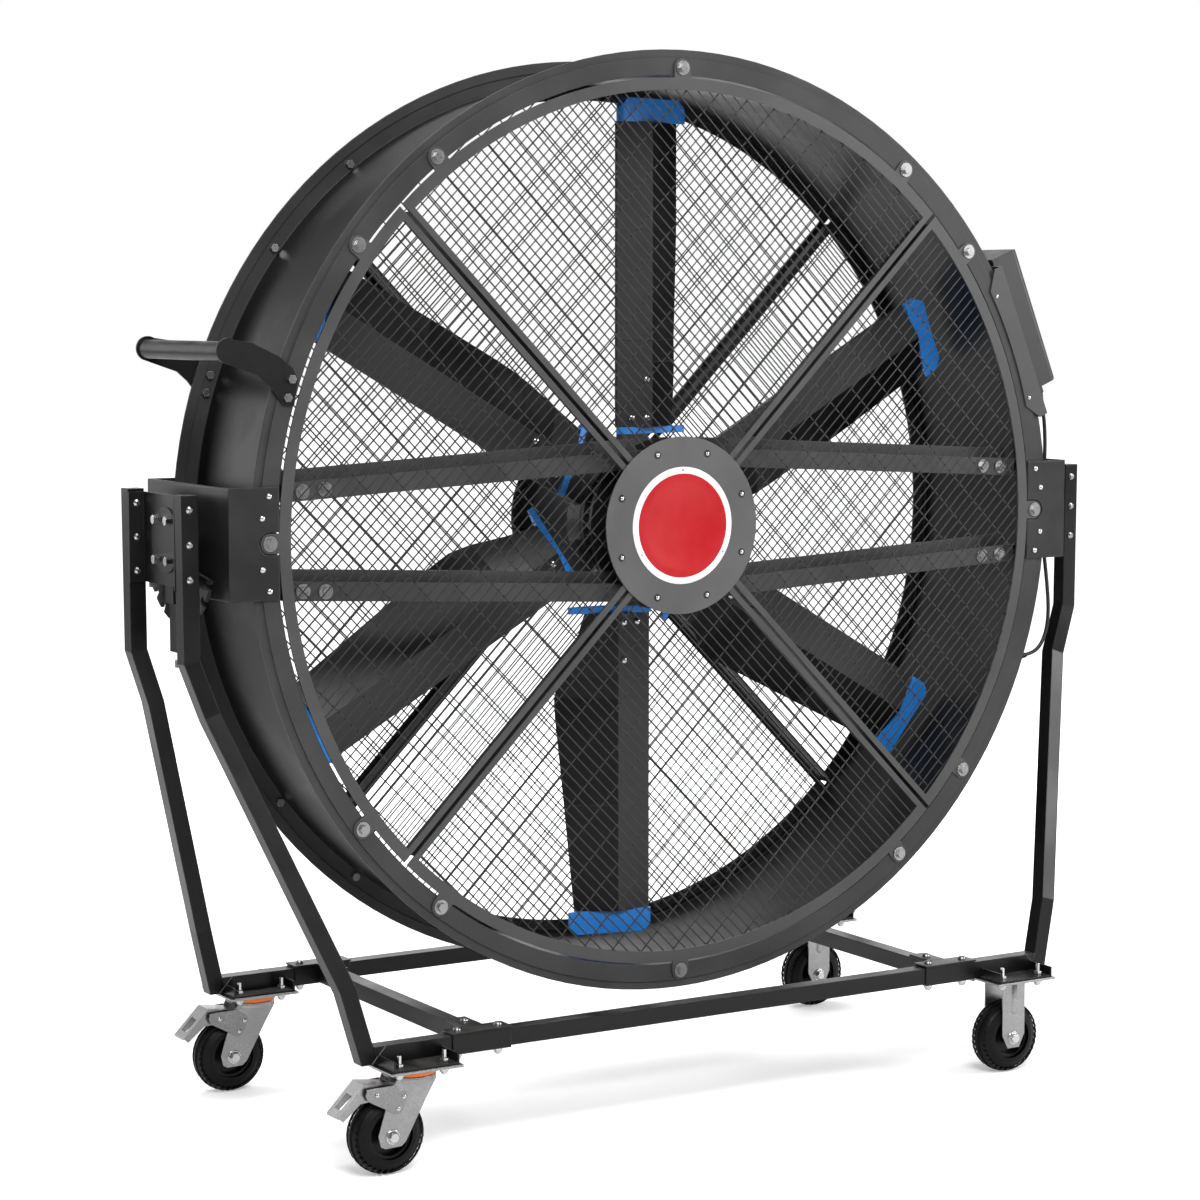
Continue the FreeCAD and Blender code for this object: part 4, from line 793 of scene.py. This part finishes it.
# %% Tyres
TYRE_RADIUS = 0.0618
TREAD_TOP = 0.0640
TYRE_BEAD = 0.0378
TYRE_HALF = 0.0222
TYRE_POWER = 2.1
TYRE_POINTS = 24
GROOVE_SHARE = (0.42, 0.56)
GROOVE_DEPTH = 0.0012
TREAD_COUNT = 36
TREAD_SLANT = 0.45
TREAD_EDGE = 0.0004
BLOCK_WIDE = 0.0058
BLOCK_LONG = 0.0110
MIDDLE_BASE = 0.0610
SHOULDER_BASE = 0.0588
SHOULDER_OUT = 0.0125
SHOULDER_LEAN = 30.0
WHEEL_OUT = 0.299
SWIVEL_WHEEL_X = -0.646
RIGID_WHEEL_X = 0.602
WHEELS = {
    "front_left": (SWIVEL_WHEEL_X, -WHEEL_OUT),
    "rear_left": (SWIVEL_WHEEL_X, WHEEL_OUT),
    "front_right": (RIGID_WHEEL_X, -WHEEL_OUT),
    "rear_right": (RIGID_WHEEL_X, WHEEL_OUT),
}
AXLE_HEIGHT = 0.064


def tyre_profile():
    """Bead to bead over the crown, with a groove in each sidewall."""
    points = []
    for k in range(TYRE_POINTS + 1):
        angle = math.pi * k / TYRE_POINTS
        out = math.copysign(abs(math.cos(angle)) ** (2 / TYRE_POWER), math.cos(angle))
        rise = math.sin(angle) ** (2 / TYRE_POWER) if 0 < k < TYRE_POINTS else 0.0
        groove = GROOVE_DEPTH if GROOVE_SHARE[0] < rise < GROOVE_SHARE[1] else 0.0
        points.append((TYRE_BEAD + (TYRE_RADIUS - TYRE_BEAD) * rise, out * (TYRE_HALF - groove)))
    return points


def tread_places(hub):
    """Placements of the tread blocks round one wheel: two slanted rows and a middle row."""
    rows = (
        (SHOULDER_OUT, TREAD_SLANT, 0.0, SHOULDER_BASE),
        (-SHOULDER_OUT, -TREAD_SLANT, 0.5, SHOULDER_BASE),
        (0.0, 0.0, 0.25, MIDDLE_BASE),
    )
    places = []
    for out, slant, offset, base in rows:
        for k in range(TREAD_COUNT):
            angle = math.tau * (k + offset) / TREAD_COUNT
            direction = Vector((math.cos(angle), 0.0, math.sin(angle)))
            lean = Vector((0.0, out * SHOULDER_LEAN, 0.0))
            spot = hub + direction * base + Vector((0.0, out, 0.0))
            places.append(facing(spot, direction + lean, slant))
    return places


for name, (x, y) in WHEELS.items():
    hub = Vector((x, y, AXLE_HEIGHT))
    body = stamp(turn(tyre_profile(), 64), [facing(hub, REAR)])
    tread_block = block(BLOCK_WIDE, BLOCK_LONG, TREAD_TOP - MIDDLE_BASE, TREAD_EDGE)
    treaded = gather([body, stamp(tread_block, tread_places(hub))])
    tyre_piece = piece(name + "_tyre_visual", treaded, tyre, name + "_wheel")
    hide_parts(name + "_tyre")

# %% [markdown]
# ## Casters
# Each caster hangs on a bright steel plate that is a little larger than the tray above it, held
# by cap nuts. The swivelling casters also have a soft orange seal under the plate. The plates
# are bevelled blocks, and nuts and seals are turned, as the real ones are.

# %% Caster plates and seals
CASTER_X = RIGID_WHEEL_X
PLATE_TOP = 0.1749
PLATE_SHEET = 0.0044
PLATE_LONG = 0.128
PLATE_WIDE = 0.127
PLATE_EDGE = 0.0008
STUD_X = 0.040
STUD_Y = 0.042
DOWN = Vector((0.0, 0.0, -1.0))
ACORN = (
    (0.0, 0.0125), (0.0038, 0.0118), (0.0062, 0.0090), (0.0068, 0.0062), (0.0078, 0.0058),
    (0.0078, -0.0006),
)
SEAL_PROFILE = (
    (0.030, 0.1587), (0.0425, 0.1589), (0.0445, 0.1610), (0.0465, 0.1675), (0.0445, 0.1704),
    (0.030, 0.1704), (0.030, 0.1587),
)
plate_places = []
stud_places = []
for x in (-CASTER_X, CASTER_X):
    for y in (-WHEEL_OUT, WHEEL_OUT):
        plate_places.append(Matrix.Translation((x, y, PLATE_TOP - PLATE_SHEET)))
        for dx in (-STUD_X, STUD_X):
            for dy in (-STUD_Y, STUD_Y):
                stud_places.append(facing((x + dx, y + dy, PLATE_TOP - PLATE_SHEET), DOWN))
plates = stamp(block(PLATE_LONG, PLATE_WIDE, PLATE_SHEET, PLATE_EDGE), plate_places)
piece("caster_plates", plates, zinc, "stand")
piece("plate_bolts", stamp(turn(ACORN, 16), stud_places), bright_bolt, "stand")

seal_places = [Matrix.Translation((-CASTER_X, y, 0.0)) for y in (-WHEEL_OUT, WHEEL_OUT)]
seals = stamp(turn(SEAL_PROFILE, 48), seal_places)
seals = piece("swivel_seals_visual", seals, seal_orange, "stand")
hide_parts("swivel_seals")

# %% [markdown]
# ## Forks
# A swivelling fork has two slanted cheeks under a round crown, and on each cheek a bracket for
# the brake, held by three rivets. A rigid fork has straight cheeks with a pressed rib. Cheeks
# and brackets are cut from sheet, so each is a flat outline that is pushed out to its thickness;
# a box with cuts would take more steps. The rib is a turned form that is pressed flat.

# %% Shapes of the forks
TRAIL = 0.044
CHEEK_OUT = 0.0265
CHEEK_SHEET = 0.003
BRACKET_SHEET = 0.0022
SHEET_EDGE = 0.0005
BRIDGE = (0.050, 0.052, 0.004)
BRIDGE_EDGE = 0.0006
BRIDGE_BASE = 0.1026
RIB_PRESS = 0.34
CHEEK = (
    (-0.025, 0.004), (-0.021, -0.014), (-0.013, -0.018), (0.016, -0.017), (0.024, -0.010),
    (0.058, 0.052), (0.078, 0.085), (0.078, 0.0912), (0.008, 0.0912), (0.002, 0.080),
    (-0.012, 0.046),
)
BRACKET = (
    (-0.046, 0.082), (0.003, 0.084), (0.024, 0.070), (0.026, 0.062), (0.016, 0.040),
    (0.010, 0.036), (0.003, 0.037), (-0.044, 0.063), (-0.048, 0.072),
)
RIGID_CHEEK = (
    (-0.025, 0.1066), (-0.025, 0.006), (-0.013, -0.0185), (0.013, -0.0185), (0.025, 0.006),
    (0.025, 0.1066),
)
RIB = (
    (0.0, 0.044), (0.0032, 0.0447), (0.0056, 0.0466), (0.0066, 0.050), (0.0066, 0.100),
    (0.0, 0.104),
)
CROWN = (
    (0.0, 0.0945), (0.0412, 0.0945), (0.0425, 0.0932), (0.0425, 0.0916), (0.0400, 0.0900),
    (0.0385, 0.0840), (0.0, 0.0840),
)
ROD = ((0.0, 0.026), (0.006, 0.026), (0.006, -0.026), (0.0, -0.026))


def plate(outline, sheet, side, start):
    """A flat plate from (x, z) corners; it stands start away from the middle, towards one side."""
    form = bmesh.new()
    corners = [form.verts.new((x, side * start, z)) for x, z in outline]
    face = form.faces.new(corners)
    pushed = bmesh.ops.extrude_face_region(form, geom=[face])["geom"]
    moving = [item for item in pushed if isinstance(item, bmesh.types.BMVert)]
    bmesh.ops.translate(form, vec=(0.0, side * sheet, 0.0), verts=moving)
    bmesh.ops.recalc_face_normals(form, faces=form.faces)
    soften(form, SHEET_EDGE)
    return form


def axle():
    """The round axle between the cheeks."""
    return stamp(turn(ROD, 16), [facing((0.0, 0.0, 0.0), REAR)])


def fork_form():
    """Two cheeks under a round crown, with the axle between them."""
    forms = [stamp(turn(CROWN, 40), [Matrix.Translation((TRAIL, 0.0, 0.0))]), axle()]
    for side in (-1.0, 1.0):
        forms.append(plate(CHEEK, CHEEK_SHEET, side, CHEEK_OUT - CHEEK_SHEET))
    return gather(forms)


def rigid_form():
    """Two straight cheeks with a pressed rib each, a bridge over the wheel and the axle."""
    bridge = stamp(block(*BRIDGE, BRIDGE_EDGE), [Matrix.Translation((0.0, 0.0, BRIDGE_BASE))])
    forms = [bridge, axle()]
    for side in (-1.0, 1.0):
        forms.append(plate(RIGID_CHEEK, CHEEK_SHEET, side, CHEEK_OUT - CHEEK_SHEET))
        pressed = Matrix.Diagonal((1.0, RIB_PRESS, 1.0, 1.0))
        at_cheek = Matrix.Translation((0.0, side * CHEEK_OUT, 0.0)) @ pressed
        forms.append(stamp(turn(RIB, 16), [at_cheek]))
    return gather(forms)


# %% Forks, brackets and axle bolts
AXLE_NUT_OUT = 0.0267
HEX_RADIUS = 0.0095
HEX_HEIGHT = 0.008
HEX_HEAD = (
    (0.0, HEX_HEIGHT), (HEX_RADIUS * 0.82, HEX_HEIGHT), (HEX_RADIUS, HEX_HEIGHT * 0.8),
    (HEX_RADIUS, 0.0012),
)
AXLE_WASHER = ((0.0, 0.0016), (0.0115, 0.0016), (0.0122, 0.0010), (0.0122, -0.0002))
FORK_RIVETS = ((-0.028, 0.071), (0.019, 0.063), (0.009, 0.045))
rigid_places = []
for name, (x, y) in WHEELS.items():
    swivels = "left" in name
    body = name + "_swivel" if swivels else "stand"
    at_axle = Matrix.Translation((x, y, AXLE_HEIGHT))
    hex_places = [
        facing((x, y + way * AXLE_NUT_OUT, AXLE_HEIGHT), (0.0, way, 0.0)) for way in (-1.0, 1.0)
    ]
    hexagons = stamp(gather([turn(HEX_HEAD, 6), turn(AXLE_WASHER, 24)]), hex_places)
    piece(name + "_axle_bolts", hexagons, bright_bolt, body)
    if not swivels:
        rigid_places.append(at_axle)
        continue
    rivet_out = CHEEK_OUT + BRACKET_SHEET
    spots = []
    for dx, dz in FORK_RIVETS:
        for way in (-1.0, 1.0):
            spot = (x + dx, y + way * rivet_out, AXLE_HEIGHT + dz)
            spots.append(facing(spot, (0.0, way, 0.0)))
    piece(name + "_fork_rivets", stamp(turn(SMALL_HEAD, 12), spots), bright_bolt, body)
    fork = piece(name + "_fork_visual", stamp(fork_form(), [at_axle]), zinc, body)
    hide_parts(name + "_fork")
    brackets = gather([plate(BRACKET, BRACKET_SHEET, side, CHEEK_OUT) for side in (-1.0, 1.0)])
    # The brackets take the darker copy of the zinc as painted shade.
    piece(name + "_brake_brackets", stamp(brackets, [at_axle]), zinc_painted_shade, body)
rigid_forks = piece("rigid_forks_visual", stamp(rigid_form(), rigid_places), zinc, "stand")
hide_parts("rigid_forks")

# %% [markdown]
# ## Fan blades
# Each blade is bent along a knee: a flat nose that lies almost in the plane of the rotor, and a
# tail that leans back, more steeply and further near the root than at the tip. The section is
# drawn as a face at the root and extruded from level to level, and at each level its corners go
# to that level's section. Six copies stand about the rotor's axis. A level gives the distance
# from the axis, the length of the tail and its lean in degrees.

# %% Fan blades
NOSE_START = (-0.033, -0.004)
KNEE = (0.0346, -0.0110)
NOSE_THICK = 0.013
TAIL_THICK = 0.0028
FULL_SHARE = 0.3
HEEL_SHARE = 0.9
HEEL_IN = 0.006
TIP_SHARE = 0.4
TIP_OUT = 0.002
BLADE_SHARP = 20.0
TAIL_LEVELS = (
    (0.162, 0.060, 25.0),
    (0.217, 0.076, 29.0),
    (0.275, 0.103, 36.0),
    (0.312, 0.1140, 38.5),
    (0.345, 0.1125, 37.8),
    (0.500, 0.096, 32.2),
    (0.6885, 0.078, 26.0),
)


def blade_section(level, reach, lean):
    """Corners of the blade's section at a level, whose tail is reach long and leans back."""
    along = Vector((math.cos(math.radians(lean)), math.sin(math.radians(lean))))
    behind = Vector((-along.y, along.x))
    nose, knee = Vector(NOSE_START), Vector(KNEE)
    end = knee + along * reach
    back = Vector((0.0, NOSE_THICK))
    corners = [
        nose,
        knee,
        end,
        end + behind * TAIL_THICK,
        knee + along * reach * FULL_SHARE + behind * NOSE_THICK,
        knee + back,
        nose + back * HEEL_SHARE + Vector((HEEL_IN, 0.0)),
        nose + back * TIP_SHARE - Vector((TIP_OUT, 0.0)),
    ]
    return [Vector((spot.x, spot.y, level)) for spot in corners]


def carried(spot, old, new):
    """The corner of the new section that belongs to a spot of the old one."""
    distances = [(spot - corner).length for corner in old]
    return new[distances.index(min(distances))]


def blade_form():
    """One blade along Z, with its front towards -Y."""
    form = bmesh.new()
    old = blade_section(*TAIL_LEVELS[0])
    face = form.faces.new([form.verts.new(spot) for spot in old])
    for values in TAIL_LEVELS[1:]:
        new = blade_section(*values)
        grown = bmesh.ops.extrude_face_region(form, geom=[face])["geom"]
        face = next(item for item in grown if isinstance(item, bmesh.types.BMFace))
        for corner in face.verts:
            corner.co = carried(corner.co, old, new)
        old = new
    return form


blade_places = []
for k in range(BLADE_COUNT):
    turned = Matrix.Rotation(-math.tau * k / BLADE_COUNT, 4, "Y")
    blade_places.append(Matrix.Translation((0.0, 0.0, AXIS)) @ turned)
blades = stamp(blade_form(), blade_places)
blades = piece("fan_blades_visual", blades, blade_black, "rotor", sharp=BLADE_SHARP)
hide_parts("fan_blades")

# %% [markdown]
# ## Blade bolts
# Three low bolts hold each blade to the hub. The construction model has them on a straight
# blade, so they are turned again here and stand on the slope of the nose.

# %% Blade bolts
BOLT_SPOTS = ((0.0230, 0.178), (-0.006, 0.178), (0.0230, 0.245))
LOW_HEAD = (
    (0.0, 0.0056), (0.0034, 0.0052), (0.0060, 0.0036), (0.0072, 0.0012), (0.0074, -0.0006),
)
skin_slope = (KNEE[1] - NOSE_START[1]) / (KNEE[0] - NOSE_START[0])
bolt_places = []
for place in blade_places:
    for x, along in BOLT_SPOTS:
        skin = NOSE_START[1] + (x - NOSE_START[0]) * skin_slope
        bolt_places.append(place @ facing((x, skin, along), (skin_slope, -1.0, 0.0)))
bolts = stamp(turn(LOW_HEAD, 12), bolt_places)
bolts = piece("blade_bolts_visual", bolts, bright_bolt, "rotor")
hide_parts("blade_bolts")

# %% [markdown]
# ## Weld seams
# At each foot the leg and the base bar meet in a mitre that is welded on both faces. A bump in
# the paint would be flat from the side, so the bead is a turned rod with small ripples, laid
# along the mitre. It takes the lighter grey of the hub plates: a painted highlight on the bead.

# %% Weld seams
SEAM_TOP = (0.646, 0.206)
SEAM_FOOT = (0.671, 0.179)
SEAM_FACES = (0.3040, 0.2760)
SEAM_RIPPLES = 12
SEAM_THICK = 0.0012
seam_length = math.dist(SEAM_TOP, SEAM_FOOT)
seam_profile = [(0.0, 0.0)]
for k in range(SEAM_RIPPLES):
    for share, swell in ((0.1, 0.8), (0.5, 1.0), (0.9, 0.8)):
        seam_profile.append((SEAM_THICK * swell, seam_length * (k + share) / SEAM_RIPPLES))
seam_profile.append((0.0, seam_length))
seam_places = []
for way in (-1.0, 1.0):
    run = Vector((way * (SEAM_TOP[0] - SEAM_FOOT[0]), 0.0, SEAM_TOP[1] - SEAM_FOOT[1]))
    for face in SEAM_FACES:
        for side in (-1.0, 1.0):
            seam_places.append(facing((way * SEAM_FOOT[0], side * face, SEAM_FOOT[1]), run))
# The seams take the lighter plate grey: a painted highlight for the glint along the bead.
piece("weld_seams", stamp(turn(seam_profile, 8), seam_places), plate_grey, "stand")

# %% [markdown]
# ## Joint lids
# Where a cross bar meets a base bar, a sheet lid lies over both and is held by button bolts
# that go right through; their nuts hang below the sleeve. The lid is a T of two thin bevelled
# blocks, one along the sleeve and one tongue on the cross bar, which needs no cutting.

# %% Joint lids
UP = Vector((0.0, 0.0, 1.0))
LID_SHEET = 0.003
SLEEVE_MIDDLE = (0.4735, 0.290)
SLEEVE_LONG = 0.107
SLEEVE_SIDE = 0.033
SLEEVE_TOP = 0.2085
SLEEVE_FOOT = 0.1755
CROSS_X = 0.470
CROSS_TOP = 0.206
TONGUE = 0.062
TONGUE_BUTTON = 0.240
BUTTON_OUT = 0.0375
LID_SINK = 0.0002
LID_EDGE = 0.0006
LID_OVER_LONG = 0.004
LID_OVER_SIDE = 0.005
lid_top = SLEEVE_TOP + LID_SHEET
lid_places = []
tongue_places = []
button_places = []
nut_places = []
for way in (-1.0, 1.0):
    for side in (-1.0, 1.0):
        x, y = way * SLEEVE_MIDDLE[0], side * SLEEVE_MIDDLE[1]
        lid_places.append(Matrix.Translation((x, y, SLEEVE_TOP - LID_SINK)))
        inward = side * (SLEEVE_MIDDLE[1] - SLEEVE_SIDE / 2 - TONGUE / 2)
        tongue_places.append(Matrix.Translation((way * CROSS_X, inward, CROSS_TOP - LID_SINK)))
        for dx in (-BUTTON_OUT, BUTTON_OUT):
            button_places.append(facing((x + dx, y, lid_top), UP))
            nut_places.append(facing((x + dx, y, SLEEVE_FOOT), DOWN))
        button_places.append(facing((way * CROSS_X, side * TONGUE_BUTTON, lid_top), UP))
lid_long, lid_wide = SLEEVE_LONG + LID_OVER_LONG, SLEEVE_SIDE + LID_OVER_SIDE
lids = stamp(block(lid_long, lid_wide, LID_SHEET, LID_EDGE), lid_places)
tongues = stamp(block(SLEEVE_SIDE, TONGUE, lid_top - CROSS_TOP, LID_EDGE), tongue_places)
piece("joint_lids", gather([lids, tongues]), frame_black, "stand")
piece("lid_buttons", stamp(turn(LOW_HEAD, 16), button_places), dark_bolt, "stand")
piece("lid_nuts", stamp(turn(ACORN, 16), nut_places), bright_bolt, "stand")

# %% [markdown]
# ## Control box
# The lid faces outwards, away from the camera. It has a screw in each corner and a round knob
# with a ring of plain scale marks; the knob itself carries a white pointer line.

# %% Control box lid
BOX_ANGLE = math.radians(22.3)
LID_FACE = 0.867
BOX_MIDDLE = 0.032
LID_SCREW_UP = 0.110
LID_SCREW_SIDE = 0.116
DIAL_TOP = 0.8873
DIAL_RADIUS = 0.021
MARKS = 11
MARK_CIRCLE = 0.029
MARKS_FROM = 225.0
MARKS_SWEEP = 270.0
MARK_DOT = ((0.0, 0.0005), (0.0012, 0.0005), (0.0014, 0.0003), (0.0014, 0.0))
SCREW_SINK = 0.001
MARK_SINK = 0.0002
POINTER_SINK = 0.0001
POINTER_WIDE = 0.0022
POINTER_THICK = 0.0008
POINTER_EDGE = 0.0002
POINTER_TURN = 135.0
outward = Vector((math.cos(BOX_ANGLE), 0.0, math.sin(BOX_ANGLE)))
upward = Vector((-math.sin(BOX_ANGLE), 0.0, math.cos(BOX_ANGLE)))


def on_box(out, up, side):
    """A place in the box frame: out from the drum's axis, up along the box, to the rear."""
    return Vector((0.0, side, AXIS)) + outward * out + upward * up


lid_screw_places = []
for up in (-LID_SCREW_UP, LID_SCREW_UP):
    for side in (-LID_SCREW_SIDE, LID_SCREW_SIDE):
        spot = on_box(LID_FACE - SCREW_SINK, BOX_MIDDLE + up, side)
        lid_screw_places.append(facing(spot, outward))
piece("lid_screws", stamp(turn(SMALL_HEAD, 12), lid_screw_places), bright_bolt, "drum")

mark_places = []
for k in range(MARKS):
    angle = math.radians(MARKS_FROM - MARKS_SWEEP * k / (MARKS - 1))
    up, side = math.sin(angle) * MARK_CIRCLE, math.cos(angle) * MARK_CIRCLE
    spot = on_box(LID_FACE - MARK_SINK, BOX_MIDDLE + up, side)
    mark_places.append(facing(spot, outward))
piece("dial_marks", stamp(turn(MARK_DOT, 10), mark_places), mark_white, "drum")

pointer = block(POINTER_WIDE, DIAL_RADIUS * 0.8, POINTER_THICK, POINTER_EDGE)
bmesh.ops.translate(pointer, vec=(0.0, DIAL_RADIUS * 0.5, 0.0), verts=pointer.verts)
pointer_spot = on_box(DIAL_TOP - POINTER_SINK, BOX_MIDDLE, 0.0)
pointer_place = facing(pointer_spot, outward, math.radians(POINTER_TURN))
piece("dial_pointer", stamp(pointer, [pointer_place]), mark_white, "dial")

# %% [markdown]
# ## Motor fins
# The motor sits behind the arms in the air stream and is cooled by short fins between its two
# end rims. One thin rounded bar is stamped round the waist.

# %% Motor fins
FIN_COUNT = 40
FIN_RADIUS = 0.1155
FIN_HEIGHT = 0.008
FIN_LENGTH = 0.046
FIN_MIDDLE = -0.065
FIN_SHEET = 0.003
FIN_EDGE = 0.0005
fin_places = []
for k in range(FIN_COUNT):
    angle = math.tau * k / FIN_COUNT
    direction = Vector((math.cos(angle), 0.0, math.sin(angle)))
    along = Matrix((direction.cross(REAR), REAR, direction)).transposed().to_4x4()
    along.translation = Vector((0.0, FIN_MIDDLE, AXIS)) + direction * FIN_RADIUS
    fin_places.append(along)
fins = stamp(block(FIN_SHEET, FIN_LENGTH, FIN_HEIGHT, FIN_EDGE), fin_places)
piece("motor_fins", fins, motor_grey, "drum")

# %% [markdown]
# ## The room
# A plain pale floor that runs far behind the fan, a white surround that only the camera sees,
# and large soft lamps. The floor stays a real surface, so that the casters keep their shadow.

# %% Floor
FLOOR_REACH = 30.0
FLOOR_GREYS = (0.84, 0.86)
FLOOR_ROUGHNESS = 0.8
FLOOR_SHINE = 0.1
GLOW_NEAR = 1.4
GLOW_FAR = 4.5
GLOW_LEAST = 0.28
WHITE = (1.0, 1.0, 1.0, 1.0)
floor_mesh = bpy.data.meshes.new("floor")
floor_form = bmesh.new()
bmesh.ops.create_grid(floor_form, x_segments=1, y_segments=1, size=FLOOR_REACH)
floor_form.to_mesh(floor_mesh)
floor_form.free()
floor = bpy.data.objects.new("floor", floor_mesh)
scene.collection.objects.link(floor)

floor_finish = bpy.data.materials.new("studio_floor")
floor_finish.use_nodes = True
floor_tree = floor_finish.node_tree
floor_shader = floor_tree.nodes["Principled BSDF"]
floor_coords = add(floor_tree, "ShaderNodeTexCoord").outputs["Object"]
floor_clouds = noise(floor_tree, floor_coords, scale=3.0, detail=3.0)
floor_tone = remap(floor_tree, floor_clouds, low=0.3, high=0.7)
floor_colour = mix_colour(floor_tree, floor_tone, *map(opaque, FLOOR_GREYS))
floor_tree.links.new(floor_colour, floor_shader.inputs["Base Color"])
floor_shader.inputs["Roughness"].default_value = FLOOR_ROUGHNESS
floor_shader.inputs["Specular IOR Level"].default_value = FLOOR_SHINE
floor_light = add(floor_tree, "ShaderNodeLightPath").outputs["Is Camera Ray"]
floor_length = add(floor_tree, "ShaderNodeVectorMath", {0: floor_coords}, operation="LENGTH")
floor_away = floor_length.outputs["Value"]
floor_fade = remap(floor_tree, floor_away, GLOW_NEAR, GLOW_FAR, GLOW_LEAST, 1.0)
floor_glow = maths(floor_tree, "MULTIPLY", floor_light, floor_fade)
floor_shader.inputs["Emission Color"].default_value = WHITE
floor_tree.links.new(floor_glow, floor_shader.inputs["Emission Strength"])
floor_mesh.materials.append(floor_finish)
print("floor made")

# %% White surround
ROOM_LIGHT = 0.24
world = bpy.data.worlds.new("studio")
scene.world = world
world.use_nodes = True
world_tree = world.node_tree
background = world_tree.nodes["Background"]
rays = add(world_tree, "ShaderNodeLightPath").outputs
seen = maths(world_tree, "MAXIMUM", rays["Is Camera Ray"], rays["Is Transmission Ray"])
world_level = remap(world_tree, seen, 0.0, 1.0, ROOM_LIGHT, 1.0)
background.inputs["Color"].default_value = WHITE
world_tree.links.new(world_level, background.inputs["Strength"])
print("surround made")


# %% Lamps
def soft_lamp(name, place, aim, size, power):
    """A square area lamp that looks at a point."""
    data = bpy.data.lights.new(name, "AREA")
    data.shape = "SQUARE"
    data.size = size
    data.energy = power
    lamp = bpy.data.objects.new(name, data)
    lamp.location = place
    direction = Vector(aim) - Vector(place)
    lamp.rotation_euler = direction.to_track_quat("-Z", "Y").to_euler()
    scene.collection.objects.link(lamp)


soft_lamp("key", (-1.6, -4.2, 4.4), aim=(0.0, 0.0, 0.9), size=2.6, power=305.0)
soft_lamp("fill", (4.4, -3.0, 2.6), aim=(0.0, 0.0, 0.9), size=2.4, power=190.0)
soft_lamp("overhead", (0.0, 1.0, 4.6), aim=(0.0, 0.0, 0.0), size=3.5, power=260.0)
soft_lamp("side", (-3.2, 3.6, 2.2), aim=(-0.6, 0.0, 1.1), size=3.0, power=60.0)
soft_lamp("behind", (1.9, 3.2, 0.9), aim=(0.0, 0.0, 0.7), size=3.0, power=45.0)
print("lamps made")
